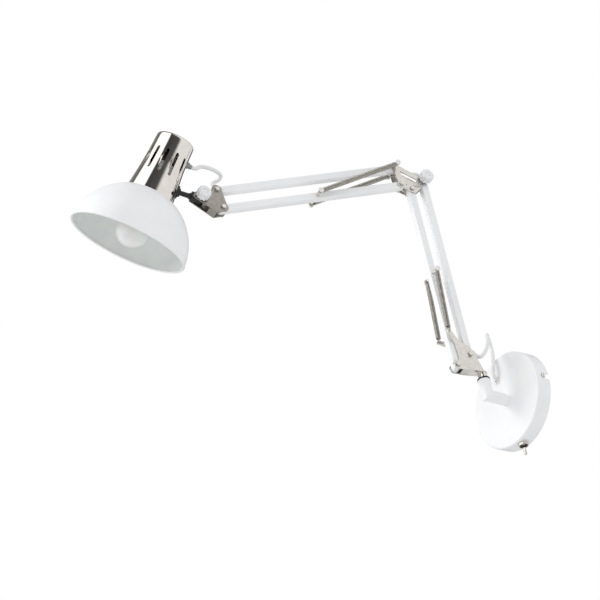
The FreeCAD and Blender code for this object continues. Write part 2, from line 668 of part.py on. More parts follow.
def washers_at(places):
    """Washers at each place, near and far."""
    return [w for place in places for near in pivot_washers(place) for w in both_sides(near)]


def spring_pin(place):
    """Pin across a bar that carries one end of each spring."""
    return cross_pin(place, SPRING_PIN_DIA / 2, -PIN_HALF - PIN_CAP_THICK, PIN_HALF + PIN_CAP_THICK)


def spring_caps(place):
    """Push-on caps at both ends of a spring pin."""
    return both_sides(cross_ring(place, PIN_CAP_DIA / 2, SPRING_PIN_DIA / 2, PIN_HALF,
                                 PIN_HALF + PIN_CAP_THICK))


def spring(first, first_hook, last, last_hook):
    """Extension spring: close wound body and a loop at each end.

    A hook is the loop's centre distance from the end along the spring, and its axis.
    """
    direction = last - first
    direction.normalize()
    hooks = []
    stations = []
    for end, inward, (offset, loop_r, axis) in ((first, direction, first_hook),
                                                (last, direction * -1, last_hook)):
        centre = end + inward * offset
        station = centre + inward * (loop_r + HOOK_ROOM)
        stations.append(station)
        hooks.append(Part.makeTorus(loop_r, SPRING_WIRE / 2, centre, axis))
        hooks.append(rod_between(centre + inward * loop_r, station + inward * SPRING_WIRE,
                                 SPRING_WIRE / 2))
        hooks.append(rod_between(station, station + inward * SPRING_WIRE, SPRING_DIA / 2 - 0.2))
    coil = ring_between(stations[0], stations[1], SPRING_DIA / 2, SPRING_DIA / 2 - SPRING_WIRE)
    return joined([coil] + hooks)


def pin_hook():
    """Loop that goes round a cross pin."""
    return (0.0, PIN_LOOP_R, Y_AXIS)


def ear_hook(spring_direction):
    """Loop that goes through the bracket ear's hole."""
    normal = ear_frame()[2]
    return (EAR_LOOP_R, EAR_LOOP_R, spring_direction.cross(normal))


def knob(place, seat):
    """Ribbed clamp knob on a screw, with its plain base, at (reach, height)."""
    low = seat + KNOB_BASE_THICK
    top = low + KNOB_LENGTH
    base = cross_pin(place, KNOB_DIA / 2 - KNOB_BASE_INSET, seat, low)
    body = cross_pin(place, KNOB_DIA / 2 - KNOB_BODY_INSET, low, top)
    crown = [e for e in body.Edges if abs(e.BoundBox.YMin - top) < 0.01]
    parts = [base, body.makeFillet(KNOB_CROWN_R, crown)]
    for i in range(KNOB_LOBES):
        centre = along(place, 360.0 * i / KNOB_LOBES, KNOB_DIA / 2 - KNOB_LOBE_R)
        parts.append(cross_pin(centre, KNOB_LOBE_R, low, top - KNOB_LOBE_DROP))
    return joined(parts)


# ---------------------------------------------------------------------------------------
# Lower bracket on the swivel
# ---------------------------------------------------------------------------------------
def ear_frame():
    """The ear's outward direction, its reach, its normal and its direction along the bend."""
    outward = arm_point(SPRING_EAR, SPRING_SIDE) - ear_root()
    reach = outward.Length
    outward.normalize()
    normal = outward.cross(arm_point(EAR_BEND))
    normal.normalize()
    return outward, reach, normal, normal.cross(outward)


def ear_root():
    """Middle of the ear's bend line, in the side plate's mid plane."""
    return arm_point(EAR_ROOT, (PLATE_INNER + PLATE_OUTER) / 2)


def bracket_ear():
    """Ear bent outwards from the near side plate, and the cutter for its hook hole."""
    root = ear_root()
    outward, reach, normal, along_bend = ear_frame()
    half = PLATE_THICK / 2
    corners = [(-EAR_SINK, -EAR_ROOT_HALF), (-EAR_SINK, EAR_ROOT_HALF), (reach, EAR_TIP_R),
               (reach, -EAR_TIP_R)]
    points = [root + outward * x + along_bend * y - normal * half for x, y in corners]
    blade = Part.Face(Part.makePolygon(points + points[:1])).extrude(normal * PLATE_THICK)
    hole = root + outward * reach
    tip = Part.makeCylinder(EAR_TIP_R, PLATE_THICK, hole - normal * half, normal)
    cutter = Part.makeCylinder(EAR_HOLE_R, PLATE_THICK * 6, hole - normal * PLATE_THICK * 3, normal)
    return blade.fuse(tip), cutter


def lower_bracket():
    """U shaped bracket: web, two side plates and two bent spring ears."""
    plate = prism(LOWER_SIDE, PLATE_INNER, PLATE_OUTER)
    lobes = [cross_pin(FRONT_PIVOT, FRONT_LOBE_R, PLATE_INNER, PLATE_OUTER),
             cross_pin(REAR_PIVOT, REAR_LOBE_R, PLATE_INNER, PLATE_OUTER)]
    ear, ear_hole = bracket_ear()
    side = joined([plate] + lobes + [ear]).cut(ear_hole)
    for place in (FRONT_PIVOT, REAR_PIVOT):
        side = side.cut(cross_pin(place, PIVOT_DIA / 2, 0, SPRING_SIDE))
    web = Part.makeBox(WEB_REACH, 2 * PLATE_OUTER, PLATE_THICK, Vector(0, -PLATE_OUTER, WEB_LOW))
    tail = Part.makeCylinder(PLATE_OUTER, PLATE_THICK, Vector(0, 0, WEB_LOW), Z_AXIS)
    pin_hole_in_web = Part.makeCylinder(SWIVEL_PIN_DIA / 2 - 1.0, 10, Vector(0, 0, WEB_LOW - 4), Z_AXIS)
    return joined([side, mirrored(side), web, tail]).cut(pin_hole_in_web)


def swivel_pin():
    """Pin riveted to the web that turns in the barrel."""
    low = BARREL_FLOOR + SWIVEL_PIN_END_GAP
    radius = SWIVEL_PIN_DIA / 2
    shaft = Part.makeCylinder(radius, WEB_LOW - low, Vector(0, 0, low), Z_AXIS)
    collar = Part.makeCylinder(radius + SWIVEL_COLLAR_RIM, WEB_LOW - COLLAR_LOW,
                               Vector(0, 0, COLLAR_LOW), Z_AXIS)
    neck = Part.makeCylinder(radius - 1.0, PLATE_THICK, Vector(0, 0, WEB_LOW), Z_AXIS)
    rivet = Part.makeCylinder(radius, 2.0, Vector(0, 0, WEB_LOW + PLATE_THICK), Z_AXIS)
    return joined([shaft, collar, neck, rivet])


def swivel_washer():
    """Bearing washer between the barrel and the pin's collar."""
    low = Vector(0, 0, BARREL_TOP)
    high = Vector(0, 0, COLLAR_LOW)
    return ring_between(low, high, STUB_DIA / 2 + SWIVEL_WASHER_RIM,
                        SWIVEL_PIN_DIA / 2 + RUNNING_FIT)


# ---------------------------------------------------------------------------------------
# Elbow
# ---------------------------------------------------------------------------------------
def elbow_plate(low, high):
    """Side plate of the elbow: a frame with a window, and lobes round its four pivots."""
    plate = prism([plus(KNEE, p) for p in ELBOW_OUTLINE], low, high)
    lobes = [cross_pin(place, ELBOW_TOP_LOBE_R, low, high) for place in (TOP_PIVOT, LOW_TOP_PIVOT)]
    lobes += [cross_pin(place, ELBOW_LOW_LOBE_R, low, high) for place in (KNEE, REAR_KNEE)]
    window = prism([plus(KNEE, p) for p in ELBOW_WINDOW], low - 1, high + 1)
    plate = joined([plate] + lobes).cut(window)
    holes = [(TOP_PIVOT, SPRING_PIN_DIA / 2), (LOW_TOP_PIVOT, PIVOT_DIA / 2), (KNEE, PIVOT_DIA / 2),
             (REAR_KNEE, PIVOT_DIA / 2), (plus(KNEE, ELBOW_SPACER), ELBOW_SPACER_R - RIVET_STEP),
             (plus(KNEE, ELBOW_EYELET), ELBOW_EYELET_R)]
    for place, radius in holes:
        plate = plate.cut(cross_pin(place, radius, low - 1, high + 1))
    return plate


def elbow_spacer():
    """Riveted spacer that holds the two elbow plates apart."""
    place = plus(KNEE, ELBOW_SPACER)
    middle = cross_pin(place, ELBOW_SPACER_R, -PLATE_INNER, PLATE_INNER)
    neck = cross_pin(place, ELBOW_SPACER_R - RIVET_STEP, -PLATE_OUTER, PLATE_OUTER)
    heads = both_sides(cross_pin(place, ELBOW_SPACER_R, PLATE_OUTER, PLATE_OUTER + RIVET_HEAD_THICK))
    return joined([middle, neck] + heads)


def anchor_studs():
    """Two long studs at the elbow's top pivot that also carry the upper springs."""
    tip = HALF_BAR - BAR_WALL
    stud = cross_pin(TOP_PIVOT, SPRING_PIN_DIA / 2, tip, PIN_HALF + PIN_CAP_THICK)
    sleeve = cross_ring(TOP_PIVOT, STUD_SLEEVE_R, SPRING_PIN_DIA / 2, PLATE_OUTER,
                        PLATE_OUTER + STUD_SLEEVE_LENGTH)
    return both_sides(joined([stud, sleeve]))


def knob_screw(place):
    """Screw of a clamp knob: shank into the bar's cheek on the near side."""
    return cross_pin(place, PIVOT_DIA / 2, HALF_BAR - BAR_WALL, PLATE_OUTER + KNOB_SEAT_GAP)


def knob_washer(place):
    """Steel washer that a clamp knob bears on."""
    return cross_ring(place, KNOB_DIA / 2 - 3.0, PIVOT_DIA / 2, PLATE_OUTER, PLATE_OUTER + KNOB_SEAT_GAP)


# ---------------------------------------------------------------------------------------
# Head bracket and knuckle
# ---------------------------------------------------------------------------------------
def head_bracket():
    """U shaped bracket at the end of the arm: slanting web and two side plates."""
    low = PLATE_INNER
    high = PLATE_OUTER
    plate = prism([plus(HEAD_TOP, p) for p in HEAD_OUTLINE], low, high)
    lobes = [cross_pin(place, HEAD_LOBE_R, low, high) for place in (HEAD_TOP, HEAD_LOW)]
    lobes.append(cross_pin(TILT, TILT_LOBE_R, low, high))
    side = joined([plate] + lobes)
    for place in (HEAD_TOP, HEAD_LOW, TILT):
        side = side.cut(cross_pin(place, PIVOT_DIA / 2, 0, 20))
    rise = HEAD_WEB_EDGE[1] - HEAD_WEB_FROM[1]
    slope = math.degrees(math.atan2(rise, HEAD_WEB_EDGE[0] - HEAD_WEB_FROM[0]))
    end = along(HEAD_WEB_FROM, slope, HEAD_WEB_LENGTH)
    corners = [HEAD_WEB_FROM, end, along(end, slope + 90.0, PLATE_THICK),
               along(HEAD_WEB_FROM, slope + 90.0, PLATE_THICK)]
    web = prism([plus(HEAD_TOP, p) for p in corners], -PLATE_OUTER, PLATE_OUTER)
    return joined([side, mirrored(side), web])


def tilt_screw():
    """Through screw of the head's tilt joint, with its nut on the far side."""
    nut_seat = -PLATE_OUTER - WASHER_THICK
    tip = nut_seat - TILT_NUT_THICK - TILT_SCREW_END
    shank = cross_pin(TILT, PIVOT_DIA / 2, tip, PLATE_OUTER + KNOB_SEAT_GAP)
    nut = hexagon(TILT_NUT_ACROSS, TILT_NUT_THICK)
    nut.rotate(Vector(0, 0, 0), X_AXIS, 90)
    nut.translate(arm_point(TILT, nut_seat))
    washer = cross_pin(TILT, WASHER_DIA / 2, nut_seat, -PLATE_OUTER)
    return joined([shank, nut, washer])


def knuckle():
    """Black knuckle: eye and block between the side plates, and the rod into the cup."""
    side = PLATE_INNER - KNUCKLE_SIDE_GAP
    eye = cross_pin(TILT, KNUCKLE_EYE_R, -side, side)
    block = Part.makeBox(KNUCKLE_BLOCK_END, 2 * side, 2 * KNUCKLE_BLOCK_HALF,
                         Vector(0, -side, -KNUCKLE_BLOCK_HALF))
    block.rotate(Vector(0, 0, 0), Y_AXIS, -ROD_DEG)
    block.translate(arm_point(TILT))
    start = arm_point(TILT) + ROD_DIRECTION * (KNUCKLE_BLOCK_END - 1)
    end = arm_point(TILT) + ROD_DIRECTION * (ROD_TO_AXIS - ROD_TIP_FROM_AXIS)
    shaft = rod_between(start, end, ROD_DIA / 2)
    shoulder_end = arm_point(TILT) + ROD_DIRECTION * (KNUCKLE_BLOCK_END + ROD_SHOULDER_LENGTH)
    shoulder = rod_between(start, shoulder_end, ROD_DIA / 2 + 1.0)
    body = joined([eye, block, shaft, shoulder])
    return body.cut(cross_pin(TILT, PIVOT_DIA / 2 + RUNNING_FIT, -20, 20))


# ---------------------------------------------------------------------------------------
# Head
# ---------------------------------------------------------------------------------------
def dome(radius, drop):
    """Sphere about the shade's centre, cut at a crown height."""
    ball = Part.makeSphere(radius, Vector(0, 0, -SHADE_CENTRE_DROP))
    box = Part.makeBox(400, 400, SHADE_CROWN - drop, Vector(-200, -200, 0))
    return ball.common(box)


def shade():
    """Dome shade with a beaded rim and a neck hole in its flat crown."""
    outer = dome(SHADE_RADIUS, 0.0)
    inner_ball = Part.makeSphere(SHADE_RADIUS - SHADE_WALL, Vector(0, 0, -SHADE_CENTRE_DROP))
    inner_box = Part.makeBox(400, 400, SHADE_CROWN - SHADE_WALL + 20, Vector(-200, -200, -20))
    shell = outer.cut(inner_ball.common(inner_box))
    rim_r = math.sqrt(SHADE_RADIUS ** 2 - SHADE_CENTRE_DROP ** 2) - SHADE_WALL / 2
    bead = Part.makeTorus(rim_r - SHADE_BEAD_INSET, SHADE_BEAD_R,
                          Vector(0, 0, SHADE_BEAD_R - SHADE_BEAD_DROP), Z_AXIS)
    neck = Part.makeCylinder(SHADE_NECK_R, 40, Vector(0, 0, SHADE_CROWN - 20), Z_AXIS)
    return joined([shell, bead]).cut(neck)


def cup_outline(inset):
    """Edges of the cup's half section, moved in by the wall when inset isn't zero."""
    foot = CUP_FOOT_R - inset
    middle = Vector(CUP_MIDDLE[0] - inset, 0, SHADE_CROWN + CUP_MIDDLE[1])
    waist = Vector(CUP_WAIST[0] - inset, 0, SHADE_CROWN + CUP_WAIST[1])
    top = CUP_TOP - inset
    corner = CUP_TOP_CORNER_R - inset
    shoulder = Vector(CUP_SHOULDER_R - inset, 0, top - corner)
    lid_edge = Vector(shoulder.x - corner, 0, top)
    bend = corner * (1 - math.cos(math.radians(45)))
    bottom = SHADE_CROWN if inset == 0 else SHADE_CROWN - 5
    edges = [Part.Arc(Vector(foot, 0, SHADE_CROWN), middle, waist).toShape(),
             Part.makeLine(waist, shoulder),
             Part.Arc(shoulder, Vector(shoulder.x - bend, 0, top - bend), lid_edge).toShape(),
             Part.makeLine(lid_edge, Vector(0, 0, top)),
             Part.makeLine(Vector(0, 0, top), Vector(0, 0, bottom)),
             Part.makeLine(Vector(0, 0, bottom), Vector(foot, 0, bottom))]
    if inset != 0:
        edges.append(Part.makeLine(Vector(foot, 0, bottom), Vector(foot, 0, SHADE_CROWN)))
    return edges


def turned(shape, angle):
    """The shape turned about the shade's axis."""
    shape.rotate(Vector(0, 0, 0), Z_AXIS, angle)
    return shape


def cup_solid(inset, seam):
    """The cup filled in, with the surface's own seam at an angle away from the cuts."""
    return turned(revolved(cup_outline(inset)), seam)


def vent_slot(angle):
    """One upright rounded slot through the cup's wall."""
    half = SLOT_WIDTH / 2
    tool = joined([Part.makeBox(60, SLOT_WIDTH, SLOT_HIGH - SLOT_LOW - SLOT_WIDTH,
                                Vector(5, -half, SLOT_LOW + half)),
                   Part.makeCylinder(half, 60, Vector(5, 0, SLOT_LOW + half), X_AXIS),
                   Part.makeCylinder(half, 60, Vector(5, 0, SLOT_HIGH - half), X_AXIS)])
    return turned(tool, angle)


def cup():
    """Thin metal cup over the lampholder, with vent slots and holes for rod and gland."""
    shell = cup_solid(0, CUP_SEAM_DEG).cut(cup_solid(CUP_WALL, CUP_SEAM_DEG))
    for i in range(SLOT_COUNT):
        shell = shell.cut(vent_slot(SLOT_FIRST_DEG + SLOT_STEP_DEG * i))
    rod_hole = rod_between(TILT_IN_HEAD, TILT_IN_HEAD - ROD_IN_HEAD * ROD_TO_AXIS, ROD_DIA / 2 + ROD_FIT)
    gland_hole = Part.makeCylinder(GLAND_R - GLAND_NECK_STEP, 60, Vector(5, 0, GLAND_HEIGHT), X_AXIS)
    shell = shell.cut(rod_hole).cut(gland_hole)
    for angle in CUP_SCREW_DEG:
        shell = shell.cut(turned(cup_screw_shank(2 * HOLDER_R), angle))
    return shell


def cup_screw_shank(end):
    """Shank of a cup screw, from the holder's skirt out to a distance from the axis."""
    start = HOLDER_R + 0.2
    return Part.makeCylinder(CUP_SCREW_R, end - start, Vector(start, 0, CUP_SCREW_HEIGHT), X_AXIS)


def cup_screw(angle):
    """Small screw through the cup's foot into the holder's skirt."""
    head = Part.makeCylinder(CUP_SCREW_HEAD_R, CUP_SCREW_HEAD_THICK,
                             Vector(CUP_SCREW_HEAD_SEAT, 0, CUP_SCREW_HEIGHT), X_AXIS)
    return turned(joined([cup_screw_shank(CUP_SCREW_HEAD_SEAT), head]), angle)


def lampholder():
    """Moulded lampholder body with its threaded socket, skirt and top boss."""
    body = Part.makeCylinder(HOLDER_R, HOLDER_TOP - HOLDER_MOUTH, Vector(0, 0, HOLDER_MOUTH), Z_AXIS)
    dome_top = Part.makeCone(HOLDER_R, HOLDER_R - HOLDER_CONE_IN, HOLDER_CONE,
                             Vector(0, 0, HOLDER_TOP), Z_AXIS)
    stem_low = HOLDER_TOP + HOLDER_CONE
    stem = Part.makeCylinder(HOLDER_STEM_R, CUP_TOP - CUP_WALL - stem_low, Vector(0, 0, stem_low), Z_AXIS)
    socket = Part.makeCylinder(SOCKET_R, SOCKET_DEPTH, Vector(0, 0, HOLDER_MOUTH - 0.001), Z_AXIS)
    collar = ring_between(Vector(0, 0, SHADE_CROWN), Vector(0, 0, SHADE_CROWN + HOLDER_COLLAR_THICK),
                          HOLDER_R + HOLDER_COLLAR_RIM, HOLDER_R - 1)
    return joined([body, dome_top, stem, collar]).cut(socket)


def shade_ring():
    """Threaded ring that clamps the shade's crown from below."""
    high = SHADE_CROWN - SHADE_WALL
    return ring_between(Vector(0, 0, high - SHADE_RING_HEIGHT), Vector(0, 0, high),
                        HOLDER_R + SHADE_RING_RIM, HOLDER_R)


def bulb():
    """Frosted globe bulb: sphere, neck and screw cap."""
    globe = Part.makeSphere(BULB_R, Vector(0, 0, BULB_CENTRE))
    neck_low = BULB_CENTRE + BULB_NECK_FROM
    neck_r = math.sqrt(BULB_R ** 2 - BULB_NECK_FROM ** 2)
    cap_low = HOLDER_MOUTH - 1.0
    cap_high = cap_low + BULB_CAP_LENGTH
    neck = Part.makeCone(neck_r, BULB_CAP_R - 0.6, cap_low - neck_low, Vector(0, 0, neck_low), Z_AXIS)
    cap = Part.makeCylinder(BULB_CAP_R, BULB_CAP_LENGTH, Vector(0, 0, cap_low), Z_AXIS)
    tip = Part.makeCone(BULB_CAP_R - 2, BULB_TIP_R, BULB_TIP_LENGTH, Vector(0, 0, cap_high), Z_AXIS)
    return joined([globe, neck, cap, tip])


def rod_point(from_axis):
    """Point on the rod's line at a distance from the shade's axis."""
    return TILT_IN_HEAD - ROD_IN_HEAD * (ROD_TO_AXIS - from_axis)


def rod_flange():
    """Black saddle washer on the cup's flared wall, with a hub under the rod's shoulder."""
    high = rod_point(ROD_FLANGE_FROM_AXIS)
    low = rod_point(ROD_FLANGE_FROM_AXIS - ROD_FLANGE_WITHIN_WALL)
    bore = ROD_DIA / 2 + ROD_FIT
    saddle = ring_between(high, low, ROD_FLANGE_DIA / 2, bore)
    saddle = saddle.common(cup_solid(-ROD_FLANGE_THICK, CUTTER_SEAM_DEG))
    hub = ring_between(high, low, ROD_FLANGE_HUB_DIA / 2, bore)
    return joined([saddle, hub]).cut(cup_solid(0, CUTTER_SEAM_DEG))


def rod_nut():
    """Nut on the rod inside the cup, shaped to its inner wall."""
    body = ring_between(rod_point(ROD_NUT_FROM_AXIS + ROD_NUT_LENGTH), rod_point(ROD_NUT_FROM_AXIS),
                        ROD_NUT_R, ROD_DIA / 2 + ROD_FIT)
    return body.common(cup_solid(CUP_WALL + SEAT_GAP, CUTTER_SEAM_DEG))


def gland():
    """Stepped cord gland in the cup's wall."""
    neck_r = GLAND_R - GLAND_NECK_STEP
    seat = Vector(GLAND_SEAT, 0, GLAND_HEIGHT)
    neck = Part.makeCylinder(neck_r, 3.6, seat - X_AXIS * 2.4, X_AXIS)
    base = Part.makeCylinder(GLAND_R, GLAND_BASE_THICK, seat, X_AXIS)
    step = Part.makeCone(GLAND_R - GLAND_STEP_RIM, CORD_DIA / 2 + GLAND_END_RIM, GLAND_STEP,
                         seat + X_AXIS * GLAND_BASE_THICK, X_AXIS)
    far = Vector(5, 0, GLAND_HEIGHT)
    wall = cup_solid(0, CUTTER_SEAM_DEG).cut(Part.makeCylinder(neck_r, 60, far, X_AXIS))
    bore = Part.makeCylinder(CORD_DIA / 2 + RUNNING_FIT, 60, far, X_AXIS)
    return joined([neck, base, step]).cut(wall).cut(bore)


# ---------------------------------------------------------------------------------------
# Cords
# ---------------------------------------------------------------------------------------
def cord(name, points, radius=CORD_DIA / 2):
    """Round cord through hand chosen points: straight runs joined by tangent arcs."""
    edges = []
    radii = []
    at = points[0]
    for before, corner, after in zip(points[:-2], points[1:-1], points[2:]):
        to_corner = corner - before
        from_corner = after - corner
        shorter = min(to_corner.Length, from_corner.Length)
        turn = to_corner.getAngle(from_corner)
        bend = 0.45 * shorter / math.tan(turn / 2)
        radii.append(bend)
        to_corner.normalize()
        from_corner.normalize()
        start = corner - to_corner * 0.45 * shorter
        end = corner + from_corner * 0.45 * shorter
        inward = from_corner - to_corner
        inward.normalize()
        middle = corner + inward * bend * (1 / math.cos(turn / 2) - 1)
        edges.append(Part.LineSegment(at, start).toShape())
        edges.append(Part.Arc(start, middle, end).toShape())
        at = end
    edges.append(Part.LineSegment(at, points[-1]).toShape())
    path = Part.Wire(edges)
    start_normal = points[1] - points[0]
    profile = Part.Wire(Part.makeCircle(radius, points[0], start_normal))
    tube = path.makePipeShell([profile], True, False, 2)
    expected = math.pi * radius ** 2 * path.Length
    ratio = tube.Volume / expected
    print(f"{name}: length {path.Length:.1f} mm, volume ratio {ratio:.4f}, radii "
          + " ".join(f"{r:.1f}" for r in radii))
    return tube


def base_cord_points():
    """Loop from the rear bar's foot, up and over, down to the canopy's grommet."""
    mouth = ARM.inverse().multVec(Vector(GROMMET.x, -CANOPY_DEPTH - 5.5, GROMMET.z))
    inside = ARM.inverse().multVec(Vector(GROMMET.x, -CANOPY_DEPTH + 7.5, GROMMET.z))
    x, z = along(REAR_PIVOT, LOWER_ARM_DEG, CORD_HOLE_INSET)
    return [Vector(x, 0, z), Vector(x - 9.5, 0, z - 0.8), Vector(x - 18.5, 0, z - 9.0),
            Vector(x - 29.5, 1.5, z + 1.5), Vector(x - 36.0, 4.0, z + 16.0),
            Vector(x - 38.5, 3.5, z + 29.5), Vector(x - 44.0, -5.5, z + 37.0),
            Vector(x - 51.0, -13.0, z + 27.0), Vector(x - 47.5, -8.0, z + 6.0),
            Vector(x - 42.5, -7.5, z - 14.0), mouth, inside]


def head_cord_points():
    """Loop from the gland on the cup to the top bar's end."""
    gland_end = HEAD.multVec(GLAND_END - X_AXIS * 6)
    out = HEAD.multVec(GLAND_END + X_AXIS * 6)
    x, z = HEAD_TOP
    hole = along(HEAD_TOP, UPPER_ARM_DEG + 180.0, HEAD_HOLE_INSET)
    above = along(hole, UPPER_ARM_DEG + 90.0, 12.0)
    return [gland_end, out, Vector(x + 27.5, 20.0, z + 25.5), Vector(x + 14.5, 19.5, z + 26.0),
            Vector(x + 2.0, 17.0, z + 24.0), Vector(x - 9.0, 10.5, z + 23.5),
            Vector(x - 12.5, -2.0, z + 24.5), Vector(x - 1.0, -7.5, z + 20.5),
            arm_point(above), arm_point(hole)]


def elbow_cord_points():
    """Lead from the top bar's open end across the elbow into the rear bar's open end."""
    start = along(TOP_PIVOT, UPPER_ARM_DEG + 180.0, ELBOW_CORD_START)
    away = along(TOP_PIVOT, UPPER_ARM_DEG + 180.0, ELBOW_CORD_START + 9.0)
    end = along(REAR_KNEE, LOWER_ARM_DEG, ELBOW_CORD_START)
    above = along(REAR_KNEE, LOWER_ARM_DEG, ELBOW_CORD_START + 6.0)
    x, z = KNEE
    return [arm_point(start), arm_point(away), Vector(x - 3.5, 0, z + 31.0), Vector(x - 18.0, 0, z + 34.0),
            arm_point(above), arm_point(end)]


def inner_lead(length, low_gap, high_gap):
    """Straight lead inside a bar, drawn along x."""
    return rod_between(Vector(low_gap, 0, 0), Vector(length - high_gap, 0, 0), CORD_DIA / 2)


# ---------------------------------------------------------------------------------------
# Build
# ---------------------------------------------------------------------------------------
def build_wall():
    """Everything that stays on the wall."""
    body, collar, lever = switch_parts()
    export("canopy", canopy())
    export("wall_strap", strap())
    export("cover_screws", cover_screws())
    export("stub_elbow", stub())
    export("stub_nut", stub_nut())
    export("switch_body", body)
    export("switch_collar", collar)
    export("switch_lever", lever)
    export("terminal_block", terminal_block())
    export("canopy_grommet", canopy_grommet())
    export("swivel_washer", swivel_washer(), ARM)


def build_lower_arm():
    """Swivelling bracket, lower bars and lower springs."""
    pivots = [FRONT_PIVOT, REAR_PIVOT]
    export("lower_bracket", lower_bracket(), ARM)
    export("swivel_pin", swivel_pin(), ARM)
    export("lower_pivot_screws", screws_at(pivots), ARM)
    export("lower_pivot_washers", washers_at(pivots), ARM)
    front, front_place = bar(FRONT_PIVOT, KNEE)
    front = moved(front, front_place).cut(pin_hole(LOWER_PIN))
    export("lower_front_bar", front, ARM)
    export("lower_front_plugs", moved(plugs(LOWER_ARM_LENGTH), front_place), ARM)
    export("lower_spring_pin", spring_pin(LOWER_PIN), ARM)
    export("lower_spring_caps", spring_caps(LOWER_PIN), ARM)
    rear, rear_place = bar(REAR_PIVOT, REAR_KNEE)
    cord_hole = Part.makeCylinder(CORD_HOLE_R, 20, Vector(CORD_HOLE_INSET, 0, 0), Z_AXIS)
    rear = moved(rear.cut(cord_hole), rear_place).cut(open_hole(REAR_KNEE))
    export("lower_rear_bar", rear, ARM)
    lead = inner_lead(LOWER_ARM_LENGTH, CORD_HOLE_INSET + CORD_DIA / 2, -ELBOW_CORD_START)
    export("rear_bar_lead", moved(lead, rear_place), ARM)
    ear = arm_point(SPRING_EAR, SPRING_SIDE)
    pin = arm_point(LOWER_PIN, SPRING_SIDE)
    near = spring(pin, pin_hook(), ear, ear_hook(pin - ear))
    export("lower_spring_near", near, ARM)
    export("lower_spring_far", mirrored(near), ARM)


def build_elbow():
    """Elbow plates with their pivots, anchors, spacer and clamp knob."""
    export("elbow_plate_near", elbow_plate(PLATE_INNER, PLATE_OUTER), ARM)
    export("elbow_plate_far", elbow_plate(-PLATE_OUTER, -PLATE_INNER), ARM)
    export("elbow_spacer", elbow_spacer(), ARM)
    screws = screws_at([LOW_TOP_PIVOT, KNEE]) + [mirrored(pivot_screw(REAR_KNEE))]
    export("elbow_pivot_screws", screws, ARM)
    washers = washers_at([LOW_TOP_PIVOT, KNEE])
    washers += [mirrored(w) for w in pivot_washers(REAR_KNEE)]
    inner_near = [pivot_washers(TOP_PIVOT)[0], pivot_washers(REAR_KNEE)[0]]
    washers += inner_near + [mirrored(inner_near[0])]
    export("elbow_pivot_washers", washers, ARM)
    export("elbow_spring_studs", anchor_studs(), ARM)
    export("elbow_stud_caps", spring_caps(TOP_PIVOT), ARM)
    export("elbow_knob_screw", joined([knob_screw(REAR_KNEE), knob_washer(REAR_KNEE)]), ARM)
    export("elbow_knob", knob(REAR_KNEE, PLATE_OUTER + KNOB_SEAT_GAP), ARM)
    export("elbow_lead", cord("elbow_lead", elbow_cord_points()), ARM)


def build_upper_arm():
    """Upper bars, their spring pin and upper springs."""
    top, top_place = bar(TOP_PIVOT, HEAD_TOP)
    hole = Part.makeCylinder(CORD_HOLE_R, 20, Vector(UPPER_ARM_LENGTH - HEAD_HOLE_INSET, 0, 0), Z_AXIS)
    export("upper_top_bar", moved(top.cut(hole), top_place), ARM)
    lead = inner_lead(UPPER_ARM_LENGTH, -ELBOW_CORD_START, HEAD_HOLE_INSET + CORD_DIA / 2)
    export("top_bar_lead", moved(lead, top_place), ARM)
    low, low_place = bar(LOW_TOP_PIVOT, HEAD_LOW)
    low = moved(low, low_place).cut(pin_hole(UPPER_PIN)).cut(open_hole(HEAD_LOW))
    export("upper_bottom_bar", low, ARM)
    ends = moved(plugs(UPPER_ARM_LENGTH), low_place)
    export("upper_bottom_plugs", [ends[0], ends[1].cut(open_hole(HEAD_LOW))], ARM)
    export("upper_spring_pin", spring_pin(UPPER_PIN), ARM)
    export("upper_spring_caps", spring_caps(UPPER_PIN), ARM)
    near = spring(arm_point(UPPER_PIN, SPRING_SIDE), pin_hook(),
                  arm_point(TOP_PIVOT, SPRING_SIDE), pin_hook())
    export("upper_spring_near", near, ARM)
    export("upper_spring_far", mirrored(near), ARM)


def build_head():
    """Head bracket, knuckle, cup, shade, lampholder and bulb."""
    pivots = [HEAD_TOP, HEAD_LOW]
    export("head_bracket", head_bracket(), ARM)
    export("head_pivot_screws", screws_at(pivots), ARM)
    export("head_pivot_washers", washers_at(pivots), ARM)
    export("head_knob_screw", joined([tilt_screw(), knob_washer(TILT)]), ARM)
    export("head_knob", knob(TILT, PLATE_OUTER + KNOB_SEAT_GAP), ARM)
    export("knuckle", knuckle(), ARM)
    place = ARM.multiply(HEAD)
    export("rod_flange", rod_flange(), place)
    export("rod_nut", rod_nut(), place)
    export("cup", cup(), place)
    export("cup_screws", [cup_screw(angle) for angle in CUP_SCREW_DEG], place)
    export("shade", shade(), place)
    export("shade_ring", shade_ring(), place)
    export("lampholder", lampholder(), place)
    export("bulb", bulb(), place)
    export("cord_gland", gland(), place)


def build_cords():
    """The two loose loops of the lamp's lead."""
    export("base_cord", cord("base_cord", base_cord_points()), ARM)
    export("head_cord", cord("head_cord", head_cord_points()), ARM)


def main():
    """Build every node."""
    os.makedirs("parts", exist_ok=True)
    build_wall()
    build_lower_arm()
    build_elbow()
    build_upper_arm()
    build_head()
    build_cords()


main()
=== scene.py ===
"""Looks of a white swing arm wall sconce with a nickel cup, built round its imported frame.

Sizes are in millimetres unless a name says otherwise, and meshes are made in metres.
"""
import json
import logging
import math
from dataclasses import dataclass, field
from enum import Enum
from typing import Optional

import bmesh
import bpy
from bpy.types import Material, Mesh, Node, NodeSocket, NodeTree, Object
from mathutils import Matrix, Vector
from mathutils.geometry import delaunay_2d_cdt

